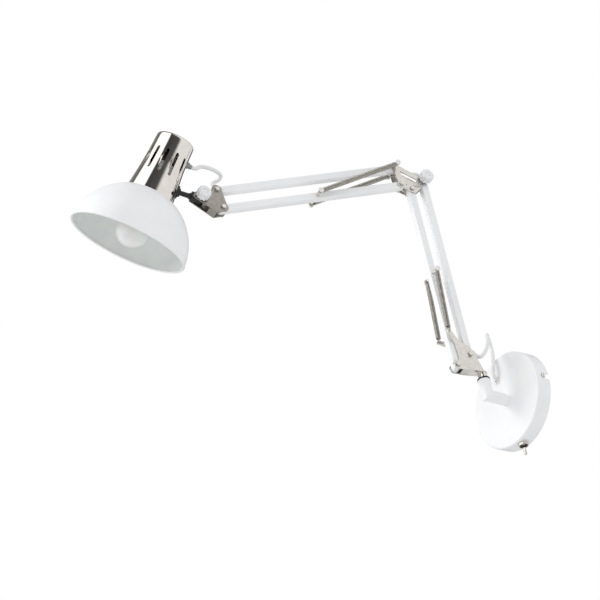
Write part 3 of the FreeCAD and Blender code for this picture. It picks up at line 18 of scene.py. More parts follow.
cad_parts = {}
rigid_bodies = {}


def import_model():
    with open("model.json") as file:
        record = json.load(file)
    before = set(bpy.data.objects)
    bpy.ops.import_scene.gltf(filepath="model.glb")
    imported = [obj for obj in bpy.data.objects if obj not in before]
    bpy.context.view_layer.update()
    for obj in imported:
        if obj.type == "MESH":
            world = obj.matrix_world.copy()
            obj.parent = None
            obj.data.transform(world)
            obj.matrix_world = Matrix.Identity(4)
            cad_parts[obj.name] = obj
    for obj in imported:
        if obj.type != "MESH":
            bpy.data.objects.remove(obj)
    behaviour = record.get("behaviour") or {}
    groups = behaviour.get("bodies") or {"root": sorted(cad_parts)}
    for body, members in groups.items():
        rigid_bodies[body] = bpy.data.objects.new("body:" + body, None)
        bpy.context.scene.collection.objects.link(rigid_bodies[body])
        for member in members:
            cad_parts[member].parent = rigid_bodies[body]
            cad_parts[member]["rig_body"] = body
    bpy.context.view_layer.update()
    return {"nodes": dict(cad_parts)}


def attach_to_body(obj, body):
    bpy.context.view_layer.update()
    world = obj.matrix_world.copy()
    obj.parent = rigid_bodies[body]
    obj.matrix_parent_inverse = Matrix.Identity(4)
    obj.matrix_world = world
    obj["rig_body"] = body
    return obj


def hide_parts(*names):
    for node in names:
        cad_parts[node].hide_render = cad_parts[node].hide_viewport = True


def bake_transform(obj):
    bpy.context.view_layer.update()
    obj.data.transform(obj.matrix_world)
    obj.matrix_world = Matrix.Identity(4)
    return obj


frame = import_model()
MM = 0.001
Pair = tuple[float, float]
Triple = tuple[float, float, float]
Rgba = tuple[float, float, float, float]
LOG = logging.getLogger("sconce")
WHITE = (1.0, 1.0, 1.0, 1.0)
SIDEWAYS = Vector((0.0, 1.0, 0.0))
ON_AXIS = 1e-6
MERGE_LIMIT = 1e-7
SHARP_EDGE_DEG = 35.0
SMOOTH_EDGE_DEG = 60.0
CREASE_EDGE_DEG = 50.0
COIL_STEPS = 20
WIRE_SIDES = 8
RIB_SIDES = 14
NOISE_LOW, NOISE_HIGH = 0.3, 0.7
TONE_LOW, TONE_HIGH = 0.35, 0.65

# --------------------------------------------------------------------------------------
# Places of the lamp at rest
# --------------------------------------------------------------------------------------


@dataclass(frozen=True)
class ArmPlane:
    """The upright plane that the arm lies in: reach outwards, side, height above the stub."""

    swivel_reach: float = 55.0
    swivel_deg: float = -9.9

    def matrix(self) -> Matrix:
        """Arm plane in millimetres to row frame in metres."""
        turn = Matrix.Rotation(math.radians(self.swivel_deg - 90.0), 4, "Z")
        place = Matrix.Translation((0.0, -self.swivel_reach * MM, 0.0))
        return place @ turn @ Matrix.Scale(MM, 4)

    def point(self, reach: float, side: float, height: float) -> Vector:
        """A point of the arm plane in the row frame.

        Args:
            reach: Distance out from the swivel axis.
            side: Distance towards the screw heads and knobs.
            height: Distance above the stub's axis.

        Returns:
            The point, in metres.
        """
        return self.matrix() @ Vector((reach, side, height))


def polar(start: Pair, degrees: float, distance: float) -> Pair:
    """A (reach, height) pair a distance away from another.

    Args:
        start: The pair that it is measured from.
        degrees: Angle above the horizontal.
        distance: How far away it is.

    Returns:
        The new pair.
    """
    angle = math.radians(degrees)
    return (start[0] + distance * math.cos(angle), start[1] + distance * math.sin(angle))


@dataclass(frozen=True)
class Linkage:
    """Pivots of the arm at rest, as (reach, height) pairs of the arm plane."""

    front_foot: Pair = (40.0, 43.8)
    rear_offset: Pair = (-24.0, 19.4)
    lower_length: float = 304.0
    lower_deg: float = 89.2
    top_offset: Pair = (20.4, 36.0)
    low_offset: Pair = (-4.8, -29.8)
    upper_length: float = 308.0
    upper_deg: float = -15.8
    tilt_offset: Pair = (25.5, -16.0)
    spring_ear: Pair = (47.1, 93.0)
    lower_pin_drop: float = 149.0
    upper_pin_reach: float = 148.0
    spring_side: float = 15.0

    @staticmethod
    def moved(start: Pair, step: Pair) -> Pair:
        """Sum of two pairs."""
        return (start[0] + step[0], start[1] + step[1])

    def knee(self) -> Pair:
        """Upper pivot of the front bar."""
        return polar(self.front_foot, self.lower_deg, self.lower_length)

    def rear_knee(self) -> Pair:
        """Upper pivot of the rear bar."""
        return self.moved(self.knee(), self.rear_offset)

    def rear_foot(self) -> Pair:
        """Lower pivot of the rear bar."""
        return self.moved(self.front_foot, self.rear_offset)

    def top(self) -> Pair:
        """Elbow pivot of the top bar."""
        return self.moved(self.knee(), self.top_offset)

    def low(self) -> Pair:
        """Elbow pivot of the bottom bar."""
        return self.moved(self.top(), self.low_offset)

    def head_top(self) -> Pair:
        """Outer pivot of the top bar."""
        return polar(self.top(), self.upper_deg, self.upper_length)

    def tilt(self) -> Pair:
        """Tilt pivot of the head."""
        return self.moved(self.head_top(), self.tilt_offset)

    def lower_pin(self) -> Pair:
        """Spring pin on the front bar."""
        return polar(self.knee(), self.lower_deg + 180.0, self.lower_pin_drop)

    def upper_pin(self) -> Pair:
        """Spring pin on the bottom bar."""
        return polar(self.low(), self.upper_deg, self.upper_pin_reach)


@dataclass(frozen=True)
class HeadPlace:
    """Where the head stands: origin at the rim's centre, z up the shade's axis."""

    rod_deg: float = 12.7
    lean_deg: float = 101.8
    turn_deg: float = -28.4
    rod_to_axis: float = 67.0
    rod_height: float = 90.5

    @staticmethod
    def direction(degrees: float) -> Vector:
        """Unit vector in the arm plane at an angle above the horizontal."""
        angle = math.radians(degrees)
        return Vector((math.cos(angle), 0.0, math.sin(angle)))

    def matrix(self, arm: ArmPlane, linkage: Linkage) -> Matrix:
        """Head frame in millimetres to row frame in metres.

        Args:
            arm: The arm plane.
            linkage: The arm's pivots.

        Returns:
            The transform.
        """
        rod = self.direction(self.rod_deg)
        up = self.direction(self.rod_deg + self.lean_deg)
        toward = -(rod - up * rod.dot(up)).normalized()
        axes = Matrix((toward, up.cross(toward), up)).transposed()
        axes = Matrix.Rotation(math.radians(self.turn_deg), 3, rod) @ axes
        tilt = linkage.tilt()
        crossing = Vector((tilt[0], 0.0, tilt[1])) + rod * self.rod_to_axis
        rim = crossing - axes.col[2] * self.rod_height
        return arm.matrix() @ Matrix.Translation(rim) @ axes.to_4x4()


ARM = ArmPlane()
LINKS = Linkage()
HEAD = HeadPlace().matrix(ARM, LINKS)

# --------------------------------------------------------------------------------------
# Materials
# --------------------------------------------------------------------------------------


def linear(code: str) -> Rgba:
    """Linear colour of an sRGB hex value.

    Args:
        code: The value, such as "#F2F2F0".

    Returns:
        Red, green, blue and alpha.
    """
    parts = [int(code[i:i + 2], 16) / 255.0 for i in (1, 3, 5)]
    turned = [p / 12.92 if p <= 0.04045 else ((p + 0.055) / 1.055) ** 2.4 for p in parts]
    return (turned[0], turned[1], turned[2], 1.0)


def add_node(tree: NodeTree, kind: str, settings: Optional[dict] = None,
             links: Optional[dict] = None) -> Node:
    """Adds one node with its settings and links.

    Args:
        tree: The tree that gets the node.
        kind: The node's type name.
        settings: Input names or indexes, or attribute names, with their values.
        links: Input names or indexes, with the output sockets they take.

    Returns:
        The node.
    """
    node = tree.nodes.new(kind)
    for key, value in (settings or {}).items():
        if isinstance(key, int) or key in node.inputs:
            node.inputs[key].default_value = value
        else:
            setattr(node, key, value)
    for key, socket in (links or {}).items():
        tree.links.new(socket, node.inputs[key])
    return node


def new_material(name: str) -> tuple[Material, NodeTree, Node]:
    """A material with a Principled shader and its output.

    Args:
        name: The material's name.

    Returns:
        The material, its tree and its shader.
    """
    material = bpy.data.materials.new(name)
    material.use_nodes = True
    tree = material.node_tree
    tree.nodes.clear()
    shader = add_node(tree, "ShaderNodeBsdfPrincipled")
    add_node(tree, "ShaderNodeOutputMaterial", links={"Surface": shader.outputs["BSDF"]})
    return material, tree, shader


def grain(tree: NodeTree, size_mm: float, detail: float = 2.0) -> NodeSocket:
    """Noise of a real size on Object coordinates.

    Args:
        tree: The material's tree.
        size_mm: Size of one blotch.
        detail: Octaves of finer noise.

    Returns:
        The noise value's socket.
    """
    place = add_node(tree, "ShaderNodeTexCoord")
    noise = add_node(tree, "ShaderNodeTexNoise", {"Scale": 1.0 / (size_mm * MM), "Detail": detail},
                     {"Vector": place.outputs["Object"]})
    return noise.outputs["Fac"]


def spread(tree: NodeTree, value: NodeSocket, low: float,
           high: float) -> NodeSocket:
    """Middle of a noise's range spread over another range.

    Args:
        tree: The material's tree.
        value: The noise.
        low: Result at the noise's low end.
        high: Result at its high end.

    Returns:
        The result's socket.
    """
    node = add_node(tree, "ShaderNodeMapRange",
                    {"From Min": NOISE_LOW, "From Max": NOISE_HIGH, "To Min": low,
                     "To Max": high}, {"Value": value})
    return node.outputs["Result"]


def two_tone(tree: NodeTree, value: NodeSocket, first: str,
             second: str) -> NodeSocket:
    """Colour between two sRGB hex values.

    Args:
        tree: The material's tree.
        value: Noise that picks between them.
        first: Colour where the noise is low.
        second: Colour where it is high.

    Returns:
        The colour's socket.
    """
    ramp = add_node(tree, "ShaderNodeValToRGB", links={"Fac": value})
    ramp.color_ramp.elements[0].position = TONE_LOW
    ramp.color_ramp.elements[0].color = linear(first)
    ramp.color_ramp.elements[1].position = TONE_HIGH
    ramp.color_ramp.elements[1].color = linear(second)
    return ramp.outputs["Color"]


def mottle(tree: NodeTree, shader: Node, value: NodeSocket,
           colours: tuple[str, str], rough: Pair) -> None:
    """Lets one noise vary a shader's colour and roughness.

    Args:
        tree: The material's tree.
        shader: The shader.
        value: The noise.
        colours: Colours at its low and high end.
        rough: Roughness at its low and high end.
    """
    tree.links.new(two_tone(tree, value, colours[0], colours[1]), shader.inputs["Base Color"])
    tree.links.new(spread(tree, value, rough[0], rough[1]), shader.inputs["Roughness"])


def roughen(tree: NodeTree, shader: Node, value: NodeSocket,
            depth_mm: float, strength: float) -> None:
    """Bump from noise on a shader's normal.

    Args:
        tree: The material's tree.
        shader: The shader.
        value: Height from 0 to 1.
        depth_mm: Height of the relief.
        strength: Share of the relief that shows.
    """
    bump = add_node(tree, "ShaderNodeBump", {"Distance": depth_mm * MM, "Strength": strength},
                    {"Height": value})
    tree.links.new(bump.outputs["Normal"], shader.inputs["Normal"])


@dataclass(frozen=True)
class PowderCoat:
    """White polyester powder coat baked on steel: soft sheen over a faint orange peel."""

    name: str = "powder_coated_steel_white"
    light: str = "#F8F8F7"
    shade: str = "#F5F5F6"
    rough_low: float = 0.42
    rough_high: float = 0.55
    peel_mm: float = 1.6
    blotch_mm: float = 30.0
    relief_mm: float = 0.05
    relief_share: float = 0.35

    def build(self) -> Material:
        """Makes the material."""
        material, tree, shader = new_material(self.name)
        blotch = grain(tree, self.blotch_mm)
        mottle(tree, shader, blotch, (self.shade, self.light), (self.rough_low, self.rough_high))
        # A real orange peel is under a millimetre wide, and is drawn coarser so that it shows.
        roughen(tree, shader, grain(tree, self.peel_mm, 1.0), self.relief_mm, self.relief_share)
        return material


@dataclass(frozen=True)
class Coated:
    """Smooth clear skin over a body: satin lacquer sprayed in the shade, or opal glass."""

    name: str = "lacquered_reflector_white"
    light: str = "#ECEFEC"
    shade: str = "#E7EAE8"
    rough_low: float = 0.28
    rough_high: float = 0.36
    blotch_mm: float = 18.0
    skin: float = 0.25
    skin_rough: float = 0.15
    milk: float = 0.0
    milk_depth_mm: float = 6.0

    def build(self) -> Material:
        """Makes the material."""
        material, tree, shader = new_material(self.name)
        blotch = grain(tree, self.blotch_mm)
        mottle(tree, shader, blotch, (self.shade, self.light), (self.rough_low, self.rough_high))
        shader.inputs["Subsurface Weight"].default_value = self.milk
        shader.inputs["Subsurface Scale"].default_value = self.milk_depth_mm * MM
        shader.inputs["Coat Weight"].default_value = self.skin
        shader.inputs["Coat Roughness"].default_value = self.skin_rough
        return material


@dataclass(frozen=True)
class PlatedMetal:
    """Nickel plate over steel: warm grey mirror whose gloss follows how the steel was made."""

    name: str = "polished_nickel_plate"
    light: str = "#DDD9D3"
    shade: str = "#D7D2CB"
    rough_low: float = 0.06
    rough_high: float = 0.11
    blotch_mm: float = 12.0
    relief_mm: float = 0.03
    relief_grain_mm: float = 9.0
    relief_share: float = 0.25

    def build(self) -> Material:
        """Makes the material."""
        material, tree, shader = new_material(self.name)
        shader.inputs["Metallic"].default_value = 1.0
        blotch = grain(tree, self.blotch_mm, 3.0)
        mottle(tree, shader, blotch, (self.shade, self.light), (self.rough_low, self.rough_high))
        relief = grain(tree, self.relief_grain_mm, 1.0)
        roughen(tree, shader, relief, self.relief_mm, self.relief_share)
        return material


@dataclass(frozen=True)
class Moulded:
    """Injection moulded plastic: even colour, fine spark eroded texture from the mould."""

    name: str = "moulded_plastic"
    light: str = "#F0EFEB"
    shade: str = "#E8E6E1"
    rough_low: float = 0.3
    rough_high: float = 0.42
    texture_mm: float = 0.8
    relief_mm: float = 0.02
    clear: float = 0.0
    glow: float = 0.0
    glow_depth_mm: float = 4.0
    blotch_mm: float = 14.0
    relief_share: float = 0.3
    refraction: float = 1.5

    def build(self) -> Material:
        """Makes the material."""
        material, tree, shader = new_material(self.name)
        blotch = grain(tree, self.blotch_mm)
        mottle(tree, shader, blotch, (self.shade, self.light), (self.rough_low, self.rough_high))
        shader.inputs["IOR"].default_value = self.refraction
        shader.inputs["Transmission Weight"].default_value = self.clear
        shader.inputs["Subsurface Weight"].default_value = self.glow
        shader.inputs["Subsurface Scale"].default_value = self.glow_depth_mm * MM
        texture = grain(tree, self.texture_mm, 0.0)
        roughen(tree, shader, texture, self.relief_mm, self.relief_share)
        return material


class Metal(Enum):
    """Metal finishes of the lamp, with one darker nickel copy that is a painted dark reflection.
    """

    POLISHED = PlatedMetal()
    STAMPED = PlatedMetal("stamped_nickel_plate", "#DAD7D2", "#CECAC4", 0.2, 0.3, 5.0,
                          relief_grain_mm=2.5)
    # Rougher, darker copy of the nickel plate: painted dark reflection on the head bracket, whose
    # plates face as the bright lower bracket's do.
    SATIN_DARK_REFLECTION = PlatedMetal("satin_nickel_painted_dark_reflection", "#A8A39C", "#96918A", 0.3, 0.42, 5.0,
                        relief_grain_mm=2.5)
    SPRING = PlatedMetal("drawn_spring_wire", "#BDB9B2", "#A39F98", 0.16, 0.26, 3.0)
    DARK = PlatedMetal("blackened_screw_steel", "#4C4946", "#3D3A38", 0.3, 0.42, 3.0)
    ZINC = PlatedMetal("zinc_plated_steel", "#BFC3C6", "#A9ADB1", 0.3, 0.42, 6.0)
    CAP = PlatedMetal("bulb_cap_aluminium", "#D5D3CE", "#C6C4BF", 0.2, 0.3, 4.0)


class Plastic(Enum):
    """Plastic finishes of the lamp, and one dark plastic that is painted shade inside the cup."""

    NYLON = Moulded("moulded_nylon_natural", "#F2F1EE", "#E9E8E4", 0.3, 0.4, glow=0.15)
    CLEAR = Moulded("moulded_acrylic_clear", "#FEFEFE", "#FAFBFC", 0.14, 0.22, 3.0, 0.01,
                    clear=0.12)
    BLACK = Moulded("moulded_black_abs", "#161616", "#0E0E0F", 0.34, 0.46)
    ENAMEL = Moulded("black_enamelled_zinc_casting", "#121213", "#0A0A0B", 0.3, 0.42, 1.5, 0.04)
    CORD = Moulded("extruded_white_pvc_cord", "#F3F3F2", "#EAEAEA", 0.36, 0.46, 1.2, 0.03)
    # Dark plastic as painted shade inside the cup, put on the holder's stem behind the vent slots.
    SHADE_IN_CUP = Moulded("painted_shade_in_cup_dark", "#1E1B19", "#151312", 0.35, 0.5)
    GREY = Moulded("moulded_grey_gland", "#9C9C9B", "#8C8C8B", 0.3, 0.4)


class Finishes:
    """Every material of the lamp, each made once."""

    def __init__(self) -> None:
        """Makes the materials."""
        self.white = PowderCoat().build()
        self.reflector = Coated().build()
        self.glass = Coated("opal_glass", "#FAFAF7", "#F3F4F1", rough_low=0.3, rough_high=0.38,
                            blotch_mm=20.0, skin=0.6, skin_rough=0.08, milk=0.35).build()
        self.metal = {kind: kind.value.build() for kind in Metal}
        self.plastic = {kind: kind.value.build() for kind in Plastic}


# --------------------------------------------------------------------------------------
# Mesh helpers
# --------------------------------------------------------------------------------------


def placed(name: str, data: bpy.types.ID) -> Object:
    """A new object that is linked to the scene.

    Args:
        name: Its name.
        data: Its mesh, curve, light or camera.

    Returns:
        The object.
    """
    made = bpy.data.objects.new(name, data)
    bpy.context.scene.collection.objects.link(made)
    return made


def made_mesh(maker: Object) -> Mesh:
    """The mesh that an object ends up with; the object itself is removed.

    Args:
        maker: The object, with its curve or modifiers.

    Returns:
        The mesh.
    """
    graph = bpy.context.evaluated_depsgraph_get()
    mesh = bpy.data.meshes.new_from_object(maker.evaluated_get(graph), depsgraph=graph)
    bpy.data.objects.remove(maker)
    return mesh


def new_piece(name: str, verts: list, faces: list, material: Material,
              place: Optional[Matrix] = None, sharp_deg: float = SHARP_EDGE_DEG) -> Object:
    """A finished mesh piece with its place in its mesh.

    Args:
        name: The piece's name.
        verts: Points.
        faces: Faces as lists of point numbers.
        material: Its material.
        place: Transform put into the mesh.
        sharp_deg: Edges over this angle stay sharp.

    Returns:
        The object.
    """
    mesh = bpy.data.meshes.new(name)
    mesh.from_pydata([tuple(v) for v in verts], [], faces)
    if place is not None:
        mesh.transform(place)
    tidy_mesh(mesh, sharp_deg)
    mesh.materials.append(material)
    return placed(name, mesh)


def tidy_mesh(mesh: Mesh, sharp_deg: float, recalc: bool = True) -> None:
    """Merges doubles, turns faces outwards and shades smooth up to an angle.

    Args:
        mesh: The mesh.
        sharp_deg: Edges over this angle stay sharp.
        recalc: Whether the faces are turned outwards.
    """
    work = bmesh.new()
    work.from_mesh(mesh)
    bmesh.ops.remove_doubles(work, verts=work.verts, dist=MERGE_LIMIT)
    if recalc:
        bmesh.ops.recalc_face_normals(work, faces=work.faces)
    work.to_mesh(mesh)
    work.free()
    mesh.shade_smooth()
    mesh.set_sharp_from_angle(angle=math.radians(sharp_deg))


def revolve(profile: list[Pair], steps: int, closed: bool) -> tuple[list, list]:
    """Surface of revolution about z.

    Args:
        profile: (radius, height) points in order.
        steps: Divisions of the turn.
        closed: Whether the last point joins the first.

    Returns:
        Points and faces.
    """
    verts: list = []
    rings: list[list[int]] = []
    for radius, height in profile:
        if radius < ON_AXIS:
            rings.append([len(verts)] * steps)
            verts.append(Vector((0.0, 0.0, height)))
            continue
        rings.append(list(range(len(verts), len(verts) + steps)))
        for i in range(steps):
            angle = 2.0 * math.pi * i / steps
            verts.append(Vector((radius * math.cos(angle), radius * math.sin(angle), height)))
    faces = []
    pairs = list(zip(rings[:-1], rings[1:]))
    if closed:
        pairs.append((rings[-1], rings[0]))
    for first, second in pairs:
        for i in range(steps):
            j = (i + 1) % steps
            corners = [first[i], first[j], second[j], second[i]]
            unique = list(dict.fromkeys(corners))
            if len(unique) > 2:
                faces.append(unique)
    return verts, faces


def arc(centre: Pair, radius: float, start_deg: float, end_deg: float,
        steps: int) -> list[Pair]:
    """Points of an arc in the (radius, height) plane.

    Args:
        centre: The arc's centre.
        radius: The arc's radius.
        start_deg: First angle.
        end_deg: Last angle.
        steps: Number of chords.

    Returns:
        The points.
    """
    turn = end_deg - start_deg
    return [polar(centre, start_deg + turn * i / steps, radius) for i in range(steps + 1)]


def tube(points: list[Vector], radius: float, sides: int) -> tuple[list, list]:
    """Round tube along points, with closed ends.

    Args:
        points: Centreline.
        radius: The tube's radius, in the points' unit.
        sides: Divisions round it.

    Returns:
        Points and faces.
    """
    verts: list = []
    faces: list = []
    tangent = (points[1] - points[0]).normalized()
    normal = tangent.orthogonal().normalized()
    last = len(points) - 1
    for i, point in enumerate(points):
        ahead = (points[min(i + 1, last)] - points[max(i - 1, 0)]).normalized()
        normal = (normal - ahead * normal.dot(ahead)).normalized()
        side = ahead.cross(normal)
        for k in range(sides):
            angle = 2.0 * math.pi * k / sides
            verts.append(point + (normal * math.cos(angle) + side * math.sin(angle)) * radius)
    for i in range(last):
        for k in range(sides):
            n = (k + 1) % sides
            faces.append([i * sides + k, i * sides + n, (i + 1) * sides + n, (i + 1) * sides + k])
    faces.append(list(range(sides)))
    faces.append([last * sides + k for k in reversed(range(sides))])
    return verts, faces


def soft_edged(node: str, width_mm: float, material: Material,
               name: Optional[str] = None) -> Object:
    """A copy of a CAD node with its sharp edges rounded, which stands for the node.

    Args:
        node: The CAD node.
        width_mm: Width of the rounding.
        material: The piece's material.
        name: The piece's name, or None for the node's with a suffix.

    Returns:
        The piece.
    """
    weld = 2e-6
    flat_deg = 1.0
    hard_deg = 40.0
    source = frame["nodes"][node]
    mesh = source.data.copy()
    work = bmesh.new()
    work.from_mesh(mesh)
    bmesh.ops.remove_doubles(work, verts=work.verts, dist=weld)
    bmesh.ops.dissolve_limit(work, angle_limit=math.radians(flat_deg), verts=work.verts,
                             edges=work.edges)
    hard = [e for e in work.edges
            if e.is_manifold and e.calc_face_angle(0.0) > math.radians(hard_deg)]
    bmesh.ops.bevel(work, geom=hard, offset=width_mm * MM, offset_type="OFFSET", segments=2,
                    profile=0.5, affect="EDGES", clamp_overlap=True)
    bmesh.ops.triangulate(work, faces=[f for f in work.faces if len(f.verts) > 4])
    work.to_mesh(mesh)
    work.free()
    mesh.shade_smooth()
    mesh.set_sharp_from_angle(angle=math.radians(hard_deg + 2.0))
    mesh.materials.clear()
    mesh.materials.append(material)
    piece = placed(name or node + "_edged", mesh)
    attach(piece, source["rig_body"], [node])
    return piece


def attach(piece: Object, body: str, nodes: list[str]) -> None:
    """Makes a piece ride on a body and stand for CAD nodes.

    Args:
        piece: The piece.
        body: The CAD body.
        nodes: The CAD nodes it stands for.
    """
    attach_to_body(piece, body)
    if nodes:
        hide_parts(*nodes)
    LOG.info("%s rides on %s", piece.name, body)


def dress(nodes: list[str], material: Material) -> None:
    """Gives CAD nodes a material.

    Args:
        nodes: The CAD nodes.
        material: Their material.
    """
    for node in nodes:
        holder = frame["nodes"][node]
        holder.data.materials.clear()
        holder.data.materials.append(material)
        LOG.info("%s dressed in %s", node, material.name)


# --------------------------------------------------------------------------------------
# Geometry Nodes
# --------------------------------------------------------------------------------------


class NodeShape:
    """A Geometry Nodes tree with named inputs that is turned into a plain mesh."""

    def __init__(self, name: str, inputs: dict[str, tuple[str, float]]) -> None:
        """Starts the tree.

        Args:
            name: The tree's name.
            inputs: Socket kind and value of each named input.
        """
        self.tree = bpy.data.node_groups.new(name, "GeometryNodeTree")
        self.tree.interface.new_socket("Geometry", in_out="OUTPUT",
                                       socket_type="NodeSocketGeometry")
        self.values = {}
        for label, (kind, value) in inputs.items():
            item = self.tree.interface.new_socket(label, in_out="INPUT", socket_type=kind)
            self.values[item.identifier] = value
        self.source = self.tree.nodes.new("NodeGroupInput")

    def value(self, label: str) -> NodeSocket:
        """The socket of a named input."""
        return self.source.outputs[label]

    def close(self, geometry: NodeSocket, material: Material) -> None:
        """Ends the tree in Realize Instances and Set Material.

        Args:
            geometry: The shape.
            material: Its material.
        """
        real = add_node(self.tree, "GeometryNodeRealizeInstances", links={"Geometry": geometry})
        dressed = add_node(self.tree, "GeometryNodeSetMaterial", {"Material": material},
                           {"Geometry": real.outputs["Geometry"]})
        end = self.tree.nodes.new("NodeGroupOutput")
        self.tree.links.new(dressed.outputs["Geometry"], end.inputs["Geometry"])

    def mesh(self, place: Matrix) -> Mesh:
        """The tree's result as a plain mesh.

        Args:
            place: Transform put into the mesh.

        Returns:
            The mesh.
        """
        carrier = placed(self.tree.name, bpy.data.meshes.new(self.tree.name))
        modifier = carrier.modifiers.new("shape", "NODES")
        modifier.node_group = self.tree
        for identifier, value in self.values.items():
            modifier[identifier] = value
        mesh = made_mesh(carrier)
        mesh.transform(place)
        return mesh


def coil_mesh(length: float, radius: float, wire: float, pitch: float, place: Matrix,
              material: Material) -> Mesh:
    """Close wound coil along z.

    Args:
        length: Height of the coil.
        radius: Radius to the wire's centre.
        wire: Wire diameter.
        pitch: Rise of one turn.
        place: Transform put into the mesh.
        material: Its material.

    Returns:
        The mesh.
    """
    shape = NodeShape("spring_coil", {
        "Turns": ("NodeSocketFloat", length / pitch),
        "Radius": ("NodeSocketFloat", radius),
        "Height": ("NodeSocketFloat", length),
        "Wire Radius": ("NodeSocketFloat", wire / 2),
    })
    spiral = add_node(shape.tree, "GeometryNodeCurveSpiral", {"Resolution": COIL_STEPS}, {
        "Rotations": shape.value("Turns"), "Start Radius": shape.value("Radius"),
        "End Radius": shape.value("Radius"), "Height": shape.value("Height")})
    section = add_node(shape.tree, "GeometryNodeCurvePrimitiveCircle", {"Resolution": WIRE_SIDES},
                       {"Radius": shape.value("Wire Radius")})
    solid = add_node(shape.tree, "GeometryNodeCurveToMesh", {"Fill Caps": True},
                     {"Curve": spiral.outputs["Curve"], "Profile Curve": section.outputs["Curve"]})
    shape.close(solid.outputs["Mesh"], material)
    return shape.mesh(place)


def rib_mesh(count: int, circle: float, radius: float, length: float, low: float, place: Matrix,
             material: Material) -> Mesh:
    """Ribs set in a ring about z.

    Args:
        count: Number of ribs.
        circle: Radius of the ring.
        radius: Radius of one rib.
        length: Length of a rib.
        low: Height of the ribs' lower ends.
        place: Transform put into the mesh.
        material: Its material.

    Returns:
        The mesh.
    """
    shape = NodeShape("knob_ribs", {
        "Count": ("NodeSocketInt", count),
        "Circle": ("NodeSocketFloat", circle),
        "Rib Radius": ("NodeSocketFloat", radius),
        "Rib Length": ("NodeSocketFloat", length),
    })
    ring = add_node(shape.tree, "GeometryNodeMeshCircle", {"fill_type": "NONE"},
                    {"Vertices": shape.value("Count"), "Radius": shape.value("Circle")})
    sides = {"Vertices": RIB_SIDES, "Side Segments": 1}
    rib = add_node(shape.tree, "GeometryNodeMeshCone", sides, {
        "Radius Top": shape.value("Rib Radius"), "Radius Bottom": shape.value("Rib Radius"),
        "Depth": shape.value("Rib Length")})
    ribs = add_node(shape.tree, "GeometryNodeInstanceOnPoints",
                    links={"Points": ring.outputs["Mesh"], "Instance": rib.outputs["Mesh"]})
    lifted = add_node(shape.tree, "GeometryNodeTransform", {"Translation": (0.0, 0.0, low)},
                      {"Geometry": ribs.outputs["Instances"]})
    shape.close(lifted.outputs["Geometry"], material)
    return shape.mesh(place)


def merged(name: str, meshes: list[Mesh],
           sharp_deg: float = SHARP_EDGE_DEG) -> Object:
    """One piece from several meshes of one material.

    Args:
        name: The piece's name.
        meshes: The meshes.
        sharp_deg: Edges over this angle stay sharp.

    Returns:
        The piece.
    """
    work = bmesh.new()
    for mesh in meshes:
        work.from_mesh(mesh)
    result = bpy.data.meshes.new(name)
    work.to_mesh(result)
    work.free()
    tidy_mesh(result, sharp_deg)
    result.materials.append(meshes[0].materials[0])
    return placed(name, result)


def mesh_from(verts: list, faces: list, place: Matrix,
              material: Material) -> Mesh:
    """A bare mesh from points and faces.

    Args:
        verts: Points.
        faces: Faces.
        place: Transform put into the mesh.
        material: Its material.

    Returns:
        The mesh.
    """
    mesh = bpy.data.meshes.new("part")
    mesh.from_pydata([tuple(v) for v in verts], [], faces)
    mesh.transform(place)
    mesh.materials.append(material)
    return mesh


# --------------------------------------------------------------------------------------
# Sub-assemblies
# --------------------------------------------------------------------------------------


@dataclass
class WallMount:
    """Round canopy, wall strap, switch and the stub that carries the swivel."""

    finishes: Finishes
    white_nodes: list[str] = field(default_factory=lambda: ["canopy", "stub_elbow"])
    polished_nodes: list[str] = field(default_factory=lambda: [
        "cover_screws", "switch_collar", "switch_lever"])
    zinc_nodes: list[str] = field(default_factory=lambda: ["wall_strap", "stub_nut"])

    def build(self) -> None:
        """Dresses the nodes on the wall."""
        dress(self.white_nodes, self.finishes.white)
        dress(self.polished_nodes, self.finishes.metal[Metal.POLISHED])
        dress(self.zinc_nodes, self.finishes.metal[Metal.ZINC])
        dress(["switch_body", "swivel_washer"], self.finishes.plastic[Plastic.BLACK])
        dress(["terminal_block", "canopy_grommet"], self.finishes.plastic[Plastic.NYLON])


@dataclass
class Arm:
    """Brackets, square bars, pivots and pins of the double parallelogram."""

    finishes: Finishes
    bar_edge: float = 1.1
    plate_edge: float = 0.25
    bars: list[str] = field(default_factory=lambda: [
        "lower_front_bar", "lower_rear_bar", "upper_top_bar", "upper_bottom_bar"])
    plates: list[str] = field(default_factory=lambda: [
        "lower_bracket", "elbow_plate_near", "elbow_plate_far"])

    def build(self) -> None:
        """Rounds the bars and plates and dresses the small parts."""
        for node in self.bars:
            soft_edged(node, self.bar_edge, self.finishes.white)
        for node in self.plates:
            soft_edged(node, self.plate_edge, self.finishes.metal[Metal.STAMPED])
        # Head bracket in the darker nickel copy: painted dark reflection.
        soft_edged("head_bracket", self.plate_edge, self.finishes.metal[Metal.SATIN_DARK_REFLECTION])
        dress(["swivel_pin", "lower_pivot_screws", "lower_spring_pin", "elbow_spacer",
               "elbow_pivot_screws", "elbow_spring_studs", "upper_spring_pin",
               "head_pivot_screws"], self.finishes.metal[Metal.POLISHED])
        dress(["elbow_knob_screw", "head_knob_screw", "rod_nut", "lower_pivot_washers",
               "elbow_pivot_washers", "head_pivot_washers"], self.finishes.metal[Metal.ZINC])
        dress(["lower_front_plugs", "lower_spring_caps", "elbow_stud_caps", "upper_bottom_plugs",
               "upper_spring_caps"], self.finishes.plastic[Plastic.NYLON])
        dress(["rear_bar_lead", "top_bar_lead"], self.finishes.plastic[Plastic.CORD])
        dress(["knuckle"], self.finishes.plastic[Plastic.ENAMEL])
        dress(["rod_flange"], self.finishes.plastic[Plastic.BLACK])


